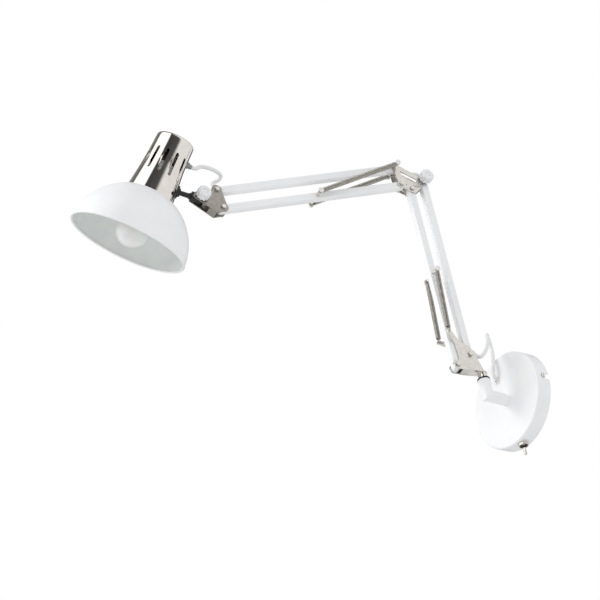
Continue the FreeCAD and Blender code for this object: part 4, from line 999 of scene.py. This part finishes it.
@dataclass
class Springs:
    """Four close wound extension springs with a loop at each end."""

    finishes: Finishes
    outer_radius: float = 3.5
    wire: float = 1.2
    pitch: float = 1.32
    pin_loop: float = 2.75
    ear_loop: float = 2.5
    hook_room: float = 1.8
    loop_steps: int = 28
    loop_turn: float = 0.94
    stem_back: float = 0.2
    stem_share: float = 0.6
    ear_normal: Triple = (0.386, -0.876, 0.290)

    def hook(self, centre: Vector, inward: Vector, radius: float, across: Vector,
             station: Vector) -> list[Vector]:
        """Path of a loop and its stem, in millimetres.

        Args:
            centre: Centre of the loop.
            inward: Unit vector towards the coil.
            radius: Radius of the loop.
            across: Unit vector in the loop's plane, square to inward.
            station: Where the coil starts.

        Returns:
            The path.
        """
        coil_radius = self.outer_radius - self.wire / 2
        stem = station - inward * self.stem_back + across * coil_radius * self.stem_share
        path = [station + across * coil_radius, stem]
        for i in range(self.loop_steps + 1):
            angle = 2.0 * math.pi * self.loop_turn * i / self.loop_steps
            path.append(centre + (inward * math.cos(angle) + across * math.sin(angle)) * radius)
        return path

    def one(self, name: str, first: Vector, last: Vector,
            last_hook: tuple[float, float, Vector]) -> Object:
        """One spring between two points of the arm plane.

        Args:
            name: The piece's name.
            first: End that goes round a pin.
            last: Other end.
            last_hook: Offset, radius and in-plane direction of the other end's loop.

        Returns:
            The piece.
        """
        steel = self.finishes.metal[Metal.SPRING]
        direction = (last - first).normalized()
        across = SIDEWAYS.cross(direction).normalized()
        start = first + direction * (self.pin_loop + self.hook_room)
        offset, loop, across_last = last_hook
        last_centre = last - direction * offset
        end = last_centre - direction * (loop + self.hook_room)
        turn = direction.to_track_quat("Z", "Y").to_matrix().to_4x4()
        place = ARM.matrix() @ Matrix.Translation(start) @ turn
        coil = coil_mesh((end - start).length, self.outer_radius - self.wire / 2, self.wire,
                         self.pitch, place, steel)
        paths = [self.hook(first, direction, self.pin_loop, across, start),
                 self.hook(last_centre, -direction, loop, across_last, end)]
        meshes = [coil]
        for path in paths:
            verts, faces = tube(path, self.wire / 2, WIRE_SIDES)
            meshes.append(mesh_from(verts, faces, ARM.matrix(), steel))
        return merged(name, meshes, SMOOTH_EDGE_DEG)

    def build(self) -> None:
        """Makes the four springs, each between the two bodies that it joins."""
        x, y, z = self.ear_normal
        for side, label in ((1.0, "near"), (-1.0, "far")):
            offset = side * LINKS.spring_side
            pin = Vector((LINKS.lower_pin()[0], offset, LINKS.lower_pin()[1]))
            ear = Vector((LINKS.spring_ear[0], offset, LINKS.spring_ear[1]))
            normal = Vector((x, y * side, z))
            direction = (ear - pin).normalized()
            across = (normal - direction * normal.dot(direction)).normalized()
            node = "lower_spring_" + label
            hook = (self.ear_loop, self.ear_loop, across)
            piece = self.one(node + "_coiled", pin, ear, hook)
            self.join(piece, node, "carriage", "lower_front", ear, pin)
            pin = Vector((LINKS.upper_pin()[0], offset, LINKS.upper_pin()[1]))
            stud = Vector((LINKS.top()[0], offset, LINKS.top()[1]))
            direction = (stud - pin).normalized()
            across = SIDEWAYS.cross(direction).normalized()
            node = "upper_spring_" + label
            piece = self.one(node + "_coiled", pin, stud, (0.0, self.pin_loop, across))
            self.join(piece, node, "elbow", "upper_bottom", stud, pin)

    def join(self, piece: Object, node: str, first: str, second: str, start: Vector,
             end: Vector) -> None:
        """Fixes a spring where it lies at rest, hides its CAD node and logs its two bodies.

        Args:
            piece: The spring.
            node: The CAD node it stands for.
            first: Body that holds the start.
            second: Body that holds the end.
            start: Start in the arm plane.
            end: End in the arm plane.
        """
        tuple(ARM.matrix() @ start)
        tuple(ARM.matrix() @ end)
        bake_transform(piece)
        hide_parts(node)
        LOG.info("%s bends between %s and %s", piece.name, first, second)


@dataclass
class Knob:
    """Clear ribbed clamp knob on a plain base."""

    finishes: Finishes
    node: str
    body: str
    pivot: Pair
    radius: float = 10.0
    seat: float = 8.2
    base: float = 1.6
    length: float = 11.0
    ribs: int = 12
    rib_radius: float = 1.9
    rib_inset: float = 1.9
    rib_short: float = 1.6
    core_inset: float = 1.2
    base_inset: float = 2.0
    chamfer: float = 0.4
    round_top: float = 2.0
    round_steps: int = 6
    dimple: tuple[Pair, ...] = ((4.6, 0.0), (4.2, 0.6), (3.8, 1.6), (0.0, 1.8))
    steps: int = 48
    edge_deg: float = 40.0

    def build(self) -> None:
        """Makes the knob about its screw."""
        place = ARM.matrix() @ Matrix.Translation((self.pivot[0], self.seat, self.pivot[1]))
        place = place @ Matrix.Rotation(math.radians(-90.0), 4, "X")
        clear = self.finishes.plastic[Plastic.CLEAR]
        core = self.radius - self.core_inset
        foot = self.radius - self.base_inset
        top = self.base + self.length
        profile = [(0.0, 0.0), (foot - self.chamfer, 0.0), (foot, self.chamfer), (foot, self.base),
                   (core, self.base + self.chamfer)]
        profile += arc((core - self.round_top, top - self.round_top), self.round_top, 0.0, 90.0,
                       self.round_steps)
        profile += [(reach, top - down) for reach, down in self.dimple]
        verts, faces = revolve(profile, self.steps, False)
        ribs = rib_mesh(self.ribs, self.radius - self.rib_inset, self.rib_radius,
                        self.length - self.rib_short, self.base, place, clear)
        meshes = [mesh_from(verts, faces, place, clear), ribs]
        piece = merged(self.node + "_clear", meshes, self.edge_deg)
        attach(piece, self.body, [self.node])


@dataclass
class Shade:
    """Spun dome shade with a rolled rim, white outside and lacquered inside."""

    finishes: Finishes
    radius: float = 85.0
    wall: float = 1.2
    drop: float = 3.0
    crown: float = 74.3
    neck: float = 20.6
    bead: float = 1.7
    bead_tuck: float = 0.6
    bead_span: Pair = (40.0, -220.0)
    bead_steps: int = 18
    dome_low: float = 2.2
    dome_steps: int = 44
    steps: int = 160
    lacquer_low: float = 1.9
    lacquer_share: float = 0.3

    def build(self) -> None:
        """Makes the shade."""
        centre = (0.0, -self.drop)
        high = math.degrees(math.asin((self.crown + self.drop) / self.radius))
        low = math.degrees(math.asin((self.drop + self.dome_low) / self.radius))
        outside = [(self.neck, self.crown)] + arc(centre, self.radius, high, low, self.dome_steps)
        rim = (self.radius - self.wall / 2 - self.bead_tuck, self.bead - self.bead_tuck)
        roll = arc(rim, self.bead, self.bead_span[0], self.bead_span[1], self.bead_steps)
        within = self.radius - self.wall
        high_in = math.degrees(math.asin((self.crown - self.wall + self.drop) / within))
        inside = arc(centre, within, low, high_in, self.dome_steps)
        inside.append((self.neck, self.crown - self.wall))
        verts, faces = revolve(outside + roll + inside, self.steps, True)
        piece = new_piece("shade_spun", verts, faces, self.finishes.white, HEAD, CREASE_EDGE_DEG)
        piece.data.materials.append(self.finishes.reflector)
        into = HEAD.inverted()
        for face in piece.data.polygons:
            spot = into @ face.center
            reach = (spot - Vector((0.0, 0.0, -self.drop))).length
            if reach < within + self.wall * self.lacquer_share and spot.z > self.lacquer_low:
                face.material_index = 1
        attach(piece, "head", ["shade"])


@dataclass(frozen=True)
class Opening:
    """An upright opening through the cup's wall with half round ends."""

    azimuth_deg: float
    low: float
    high: float
    width: float
    end_steps: int = 8
    clear_of: float = 0.8

    def across(self, azimuth_deg: float, radius: float) -> float:
        """Distance round the wall from the opening's middle line."""
        return math.radians(abs(azimuth_deg - self.azimuth_deg)) * radius

    def near(self, azimuth_deg: float, height: float, radius: float) -> bool:
        """Whether a point is too close to the opening to be kept."""
        beside = self.across(azimuth_deg, radius) < self.width / 2 + self.clear_of
        return beside and self.low - self.clear_of < height < self.high + self.clear_of

    def holds(self, azimuth_deg: float, height: float, radius: float) -> bool:
        """Whether a point lies in the opening."""
        half = self.width / 2
        level = min(max(height, self.low + half), self.high - half)
        return math.hypot(self.across(azimuth_deg, radius), height - level) < half


@dataclass
class Cup:
    """Nickel plated cup over the lampholder, with vent slots and holes for rod and gland."""

    finishes: Finishes
    foot: Pair = (34.0, 74.3)
    middle: Pair = (31.2, 99.0)
    waist: Pair = (28.6, 122.0)
    shoulder: float = 27.2
    top: float = 162.0
    corner: float = 4.0
    wall: float = 1.0
    bend_steps: int = 6
    flat_limit: float = 1e-6
    columns: int = 120
    rows: int = 26
    start_deg: float = -20.0
    slots: int = 9
    first_deg: float = 70.0
    step_deg: float = 30.0
    slot_low: float = 103.0
    slot_high: float = 138.5
    slot_width: float = 4.6
    rod_hole: Opening = Opening(0.0, 93.2, 101.0, 7.4)
    gland_hole: Opening = Opening(0.0, 134.6, 141.4, 6.8)

    def radius_at(self, height: float) -> float:
        """Outer radius of the cup's wall at a height."""
        if height > self.waist[1]:
            share = (height - self.waist[1]) / (self.top - self.corner - self.waist[1])
            return self.waist[0] + (self.shoulder - self.waist[0]) * share
        points = (self.foot, self.middle, self.waist)
        total = 0.0
        for i, (radius, level) in enumerate(points):
            weight = 1.0
            for j, (_, other) in enumerate(points):
                if j != i:
                    weight *= (height - other) / (level - other)
            total += radius * weight
        return total

    def openings(self) -> list[Opening]:
        """Every opening in the wall."""
        turns = [self.first_deg + self.step_deg * i for i in range(self.slots)]
        slots = [Opening(turn, self.slot_low, self.slot_high, self.slot_width) for turn in turns]
        return slots + [self.rod_hole, self.gland_hole]

    def outline(self, opening: Opening) -> list[Vector]:
        """Outline of an opening as (angle in degrees, height) points."""
        half = opening.width / 2
        points = []
        for level, start in ((opening.high - half, 0.0), (opening.low + half, math.pi)):
            for i in range(opening.end_steps + 1):
                angle = start + math.pi * i / opening.end_steps
                height = level + half * math.sin(angle)
                across = math.degrees(half * math.cos(angle) / self.radius_at(height))
                points.append(Vector((opening.azimuth_deg + across, height)))
        return points

    def wall_map(self) -> tuple[list[Vector], list[list[int]]]:
        """The wall laid flat as (angle in degrees, height) points, with its openings cut out."""
        top_row = self.top - self.corner
        openings = self.openings()
        spots = []
        for column in range(self.columns + 1):
            azimuth = self.start_deg + 360.0 * column / self.columns
            for row in range(self.rows + 1):
                height = self.foot[1] + (top_row - self.foot[1]) * row / self.rows
                if not any(o.near(azimuth, height, self.radius_at(height)) for o in openings):
                    spots.append(Vector((azimuth, height)))
        edges = []
        for opening in openings:
            first = len(spots)
            spots += self.outline(opening)
            count = len(spots) - first
            edges += [(first + i, first + (i + 1) % count) for i in range(count)]
        flat, _, triangles = delaunay_2d_cdt(spots, edges, [], 0, self.flat_limit)[:3]
        faces = []
        for triangle in triangles:
            centre = sum((flat[i] for i in triangle), Vector((0.0, 0.0))) / len(triangle)
            radius = self.radius_at(centre.y)
            if not any(o.holds(centre.x, centre.y, radius) for o in openings):
                faces.append(list(triangle))
        return flat, faces

    def skin(self) -> Object:
        """The cup's outer skin, facing outwards."""
        flat, faces = self.wall_map()
        verts = []
        for spot in flat:
            angle = math.radians(spot.x)
            radius = self.radius_at(spot.y)
            verts.append(Vector((radius * math.cos(angle), radius * math.sin(angle), spot.y)))
        bend = arc((self.shoulder - self.corner, self.top - self.corner), self.corner, 0.0, 90.0,
                   self.bend_steps)
        lid, lid_faces = revolve(bend + [(0.0, self.top)], self.columns, False)
        turn = Matrix.Rotation(math.radians(self.start_deg), 4, "Z")
        shift = len(verts)
        verts += [turn @ v for v in lid]
        faces += [[i + shift for i in face] for face in lid_faces]
        nickel = self.finishes.metal[Metal.POLISHED]
        piece = new_piece("cup_skin", verts, faces, nickel, HEAD, CREASE_EDGE_DEG)
        axis_point = HEAD @ Vector((0.0, 0.0, self.waist[1]))
        face = piece.data.polygons[0]
        if face.normal.dot(face.center - axis_point) < 0.0:
            piece.data.flip_normals()
        return piece

    def build(self) -> None:
        """Makes the cup with its wall."""
        skin = self.skin()
        thick = skin.modifiers.new("wall", "SOLIDIFY")
        thick.thickness = self.wall * MM
        thick.offset = -1.0
        thick.use_even_offset = True
        mesh = made_mesh(skin)
        tidy_mesh(mesh, CREASE_EDGE_DEG, False)
        attach(placed("cup_pierced", mesh), "head", ["cup"])


@dataclass
class Bulb:
    """Opal globe bulb with a threaded cap."""

    finishes: Finishes
    radius: float = 23.5
    centre: float = 18.0
    neck: float = 12.4
    mouth: float = 60.0
    cap: float = 13.0
    globe_end_deg: float = 38.0
    globe_steps: int = 30
    globe_sides: int = 72
    cap_sides: int = 48
    neck_steps: int = 8
    overlap: float = 1.0
    cap_foot: tuple[Pair, ...] = ((0.3, 0.0), (0.2, 2.0))
    thread_start: float = 2.5
    thread_pitch: float = 3.6
    thread_turns: int = 4
    thread_shape: tuple[Pair, ...] = ((0.9, 0.0), (0.1, 1.2), (0.1, 2.0))
    cap_tip: tuple[Pair, ...] = ((11.6, 19.0), (4.5, 24.0), (0.0, 24.4))
    thread_edge_deg: float = 30.0

    def build(self) -> None:
        """Makes the glass and the cap."""
        low = self.mouth - self.overlap
        glass = arc((0.0, self.centre), self.radius, -90.0, self.globe_end_deg, self.globe_steps)
        shoulder = glass[-1]
        for i in range(1, self.neck_steps + 1):
            share = i / self.neck_steps
            radius = shoulder[0] + (self.neck - shoulder[0]) * (1 - (1 - share) ** 2)
            glass.append((radius, shoulder[1] + (low - shoulder[1]) * share))
        glass.append((0.0, low))
        verts, faces = revolve(glass, self.globe_sides, False)
        piece = new_piece("bulb_glass", verts, faces, self.finishes.glass, HEAD, SMOOTH_EDGE_DEG)
        attach(piece, "head", ["bulb"])
        thread = [(0.0, low)] + [(self.cap - inset, low + rise) for inset, rise in self.cap_foot]
        for i in range(self.thread_turns):
            start = low + self.thread_start + self.thread_pitch * i
            thread += [(self.cap - inset, start + rise) for inset, rise in self.thread_shape]
        thread += [(radius, low + rise) for radius, rise in self.cap_tip]
        verts, faces = revolve(thread, self.cap_sides, False)
        metal = self.finishes.metal[Metal.CAP]
        cap = new_piece("bulb_cap", verts, faces, metal, HEAD, self.thread_edge_deg)
        attach(cap, "head", [])


@dataclass
class HeadFittings:
    """Lampholder, shade ring, screws and cord gland of the head."""

    finishes: Finishes
    # Height above which the holder is painted dark as shade inside the cup.
    painted_shade_above: float = 124.0

    def build(self) -> None:
        """Dresses the head's CAD nodes; the holder's stem above a height is painted dark, as shade
        inside the cup under the vent slots.
        """
        dress(["lampholder"], self.finishes.plastic[Plastic.NYLON])
        holder = frame["nodes"]["lampholder"]
        holder.data.materials.append(self.finishes.plastic[Plastic.SHADE_IN_CUP])
        into = HEAD.inverted()
        for face in holder.data.polygons:
            if (into @ face.center).z > self.painted_shade_above:
                face.material_index = 1
        dress(["shade_ring"], self.finishes.plastic[Plastic.NYLON])
        dress(["cup_screws"], self.finishes.metal[Metal.DARK])
        dress(["cord_gland"], self.finishes.plastic[Plastic.GREY])


@dataclass
class Leads:
    """Visible loops of the lamp's lead, each on one smooth line."""

    finishes: Finishes
    diameter: float = 5.4
    sides: int = 16
    smoothness: int = 10
    order: int = 3
    base_rise: float = 8.5
    base_steps: tuple[Triple, ...] = (
        (0.0, 0.0, 0.0), (-9.5, 0.0, -0.8), (-18.5, 0.0, -9.0), (-29.5, 1.5, 1.5),
        (-36.0, 4.0, 16.0), (-38.5, 3.5, 29.5), (-44.0, -5.5, 37.0), (-51.0, -13.0, 27.0),
        (-47.5, -8.0, 6.0), (-42.5, -7.5, -14.0))
    canopy_points: tuple[Triple, ...] = (
        (-8.0, -27.5, 37.0), (-8.0, -14.5, 37.0))
    gland_points: tuple[Triple, ...] = ((29.65, 0.0, 138.0), (41.65, 0.0, 138.0))
    head_steps: tuple[Triple, ...] = (
        (27.5, 20.0, 25.5), (14.5, 19.5, 26.0), (2.0, 17.0, 24.0), (-9.0, 10.5, 23.5),
        (-12.5, -2.0, 24.5), (-1.0, -7.5, 20.5))
    hole_back: float = 3.0
    hole_rise: float = 12.0
    elbow_inset: float = 1.0
    elbow_away: float = 10.0
    elbow_above: float = 7.0
    elbow_steps: tuple[Pair, ...] = ((-3.5, 31.0), (-18.0, 34.0))

    def line(self, name: str, route: list[Vector]) -> list[Vector]:
        """Points read from the route's smooth line.

        Args:
            name: The cord's name.
            route: Route points, in metres.

        Returns:
            The points.
        """
        curve = bpy.data.curves.new(name, "CURVE")
        curve.dimensions = "3D"
        curve.resolution_u = self.smoothness
        spline = curve.splines.new("NURBS")
        spline.points.add(len(route) - 1)
        for knot, spot in zip(spline.points, route):
            knot.co = (spot.x, spot.y, spot.z, 1.0)
        spline.order_u = self.order
        spline.use_endpoint_u = True
        mesh = made_mesh(placed(name + "_line", curve))
        return [v.co.copy() for v in mesh.vertices]

    def length(self, points: list[Vector]) -> float:
        """Length along points."""
        return sum((b - a).length for a, b in zip(points[:-1], points[1:]))

    def span(self, name: str, points: list[Vector], bodies: tuple[str, str], node: str) -> None:
        """One stretch of cord between two bodies, fixed where it lies at rest.

        Args:
            name: The piece's name.
            points: Its centreline, in metres.
            bodies: Body at its start and body at its end.
            node: The CAD node it stands for.
        """
        verts, faces = tube(points, self.diameter * MM / 2, self.sides)
        piece = new_piece(name, verts, faces, self.finishes.plastic[Plastic.CORD], None,
                          SMOOTH_EDGE_DEG)
        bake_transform(piece)
        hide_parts(node)
        self.length(points)
        LOG.info("%s bends between %s and %s", name, bodies[0], bodies[1])

    def base_route(self) -> list[Vector]:
        """Route of the loop behind the arm's foot, from the canopy to the rear bar."""
        x, z = polar(LINKS.rear_foot(), LINKS.lower_deg, self.base_rise)
        route = [ARM.point(x + out, side, z + up) for out, side, up in self.base_steps]
        route += [Vector(spot) * MM for spot in self.canopy_points]
        return list(reversed(route))

    def head_route(self) -> list[Vector]:
        """Route of the loop at the head, from the gland to the top bar."""
        x, z = LINKS.head_top()
        hole = polar(LINKS.head_top(), LINKS.upper_deg + 180.0, self.hole_back)
        above = polar(hole, LINKS.upper_deg + 90.0, self.hole_rise)
        route = [HEAD @ Vector(spot) for spot in self.gland_points]
        route += [ARM.point(x + out, side, z + up) for out, side, up in self.head_steps]
        return route + [ARM.point(spot[0], 0.0, spot[1]) for spot in (above, hole)]

    def elbow_route(self) -> list[Vector]:
        """Route of the lead between the elbow plates."""
        x, z = LINKS.knee()
        arm = [polar(LINKS.top(), LINKS.upper_deg + 180.0, self.elbow_inset),
               polar(LINKS.top(), LINKS.upper_deg + 180.0, self.elbow_away)]
        arm += [(x + out, z + up) for out, up in self.elbow_steps]
        arm += [polar(LINKS.rear_knee(), LINKS.lower_deg, self.elbow_above),
                polar(LINKS.rear_knee(), LINKS.lower_deg, self.elbow_inset)]
        return [ARM.point(p[0], 0.0, p[1]) for p in arm]

    def build(self) -> None:
        """Makes the loops, each cut into spans that each cross one joint."""
        base = self.line("base_loop", self.base_route())
        half = len(base) // 2
        self.span("base_loop_wall_side", base[:half + 1], ("wall", "carriage"), "base_cord")
        self.span("base_loop_arm_side", base[half:], ("carriage", "lower_rear"), "base_cord")
        head = self.line("head_loop", self.head_route())
        third = len(head) // 3
        self.span("head_loop_gland_side", head[:third + 1], ("head", "knuckle"), "head_cord")
        self.span("head_loop_top", head[third:2 * third + 1], ("knuckle", "head_carrier"),
                  "head_cord")
        self.span("head_loop_arm_side", head[2 * third:], ("head_carrier", "upper_top"),
                  "head_cord")
        elbow = self.line("elbow_lead", self.elbow_route())
        self.span("elbow_lead_bent", elbow, ("upper_top", "elbow"), "elbow_lead")


# --------------------------------------------------------------------------------------
# Studio
# --------------------------------------------------------------------------------------


@dataclass(frozen=True)
class SoftLight:
    """Square soft light: its name, place and side in metres, and power in watts."""

    name: str
    place: Triple
    size: float
    watts: float


@dataclass
class Studio:
    """Pale floor, white surroundings, soft lights and the camera."""

    azimuth_deg: float = 48.91
    elevation_deg: float = -33.41
    roll_sine: float = 0.2094
    place: Triple = (2.437, -2.479, -2.043)
    lens: float = 173.71
    sensor: float = 36.0
    far_clip: float = 100.0
    floor_level: float = -2.7
    floor_size: float = 14.0
    floor_blotch_mm: float = 400.0
    floor_rough: float = 0.8
    soft_colour: Rgba = (0.97, 0.98, 1.0, 1.0)
    soft_level: float = 0.84
    aim: Triple = (-0.05, -0.35, 0.25)
    lights: tuple[SoftLight, ...] = (SoftLight("key", (-1.6, -2.4, 2.2), 1.6, 46.0),
                                     SoftLight("fill", (2.6, -2.2, 0.4), 2.0, 6.0))
    band_stops: tuple[Pair, ...] = (
        (0.0, 0.22), (0.08, 0.3), (0.15, 0.12), (0.18, 1.7), (0.41, 1.7), (0.435, 0.06),
        (0.6, 0.1), (0.635, 1.05), (0.9, 1.0), (0.92, 0.08), (0.98, 0.1), (1.0, 0.22))

    def axes(self) -> tuple[Vector, Vector, Vector]:
        """The camera's right, up and back directions."""
        turn = math.radians(self.azimuth_deg)
        rise_angle = math.radians(self.elevation_deg)
        flat = math.cos(rise_angle)
        back = Vector((math.sin(turn) * flat, -math.cos(turn) * flat, math.sin(rise_angle)))
        level = Vector((math.cos(turn), math.sin(turn), 0.0))
        rise = back.cross(level)
        cosine = math.sqrt(1.0 - self.roll_sine ** 2)
        right = level * cosine - rise * self.roll_sine
        return (right, level * self.roll_sine + rise * cosine, back)

    def camera(self) -> None:
        """Makes the camera."""
        right, up, back = self.axes()
        data = bpy.data.cameras.new("camera")
        data.lens = self.lens
        data.sensor_width = self.sensor
        data.clip_end = self.far_clip
        camera = placed("camera", data)
        turn = Matrix((right, up, back)).transposed().to_4x4()
        camera.matrix_world = Matrix.Translation(self.place) @ turn
        bpy.context.scene.camera = camera

    def surroundings(self) -> None:
        """White to the camera, soft white on matt paint, and bright and dark panels in metal."""
        world = bpy.data.worlds.new("studio")
        bpy.context.scene.world = world
        world.use_nodes = True
        tree = world.node_tree
        tree.nodes.clear()
        right, up, back = self.axes()
        turn = Matrix((back, right, up)).to_euler("XYZ")
        place = add_node(tree, "ShaderNodeTexCoord")
        turned = add_node(tree, "ShaderNodeMapping", {"Rotation": tuple(turn)},
                          {"Vector": place.outputs["Generated"]})
        bands = add_node(tree, "ShaderNodeTexGradient", {"gradient_type": "RADIAL"},
                         {"Vector": turned.outputs["Vector"]})
        ramp = add_node(tree, "ShaderNodeValToRGB", links={"Fac": bands.outputs["Fac"]})
        while len(ramp.color_ramp.elements) < len(self.band_stops):
            ramp.color_ramp.elements.new(0.5)
        for stop, (position, level) in zip(ramp.color_ramp.elements, self.band_stops):
            stop.position = position
            stop.color = (level, level, level, 1.0)
        panels = add_node(tree, "ShaderNodeBackground", {"Strength": 1.0},
                          {"Color": ramp.outputs["Color"]})
        soft = add_node(tree, "ShaderNodeBackground",
                        {"Color": self.soft_colour, "Strength": self.soft_level})
        clean = add_node(tree, "ShaderNodeBackground", {"Color": WHITE, "Strength": 1.0})
        path = add_node(tree, "ShaderNodeLightPath")
        lit = add_node(tree, "ShaderNodeMixShader", links={
            0: path.outputs["Is Glossy Ray"], 1: soft.outputs["Background"],
            2: panels.outputs["Background"]})
        seen = add_node(tree, "ShaderNodeMixShader", links={
            0: path.outputs["Is Camera Ray"], 1: lit.outputs["Shader"],
            2: clean.outputs["Background"]})
        add_node(tree, "ShaderNodeOutputWorld", links={"Surface": seen.outputs["Shader"]})

    def light(self, spec: SoftLight) -> None:
        """Adds one soft light aimed at the lamp.

        Args:
            spec: The light.
        """
        data = bpy.data.lights.new(spec.name, "AREA")
        data.shape = "SQUARE"
        data.size = spec.size
        data.energy = spec.watts
        light = placed(spec.name, data)
        aim = Vector(self.aim) - Vector(spec.place)
        turn = aim.to_track_quat("-Z", "Y").to_matrix().to_4x4()
        light.matrix_world = Matrix.Translation(spec.place) @ turn
        light.visible_glossy = False

    def floor(self) -> None:
        """Makes the pale floor."""
        half = self.floor_size / 2
        corners = [(-half, -half, self.floor_level), (half, -half, self.floor_level),
                   (half, half, self.floor_level), (-half, half, self.floor_level)]
        material, tree, shader = new_material("pale_studio_floor")
        blotch = grain(tree, self.floor_blotch_mm)
        tree.links.new(two_tone(tree, blotch, "#EDEDEC", "#F1F1F0"), shader.inputs["Base Color"])
        shader.inputs["Roughness"].default_value = self.floor_rough
        new_piece("floor", corners, [[0, 1, 2, 3]], material)

    def build(self) -> None:
        """Makes the whole studio."""
        self.camera()
        self.surroundings()
        self.floor()
        for spec in self.lights:
            self.light(spec)
        bpy.context.scene.view_settings.view_transform = "Standard"


def main() -> None:
    """Builds every sub-assembly and the studio."""
    logging.basicConfig(level=logging.INFO, format="%(name)s: %(message)s")
    finishes = Finishes()
    WallMount(finishes).build()
    Arm(finishes).build()
    Springs(finishes).build()
    Knob(finishes, "elbow_knob", "elbow_clamp", LINKS.rear_knee()).build()
    Knob(finishes, "head_knob", "head_clamp", LINKS.tilt()).build()
    Shade(finishes).build()
    Cup(finishes).build()
    Bulb(finishes).build()
    HeadFittings(finishes).build()
    Leads(finishes).build()
    Studio().build()


if __name__ == "__main__":
    main()
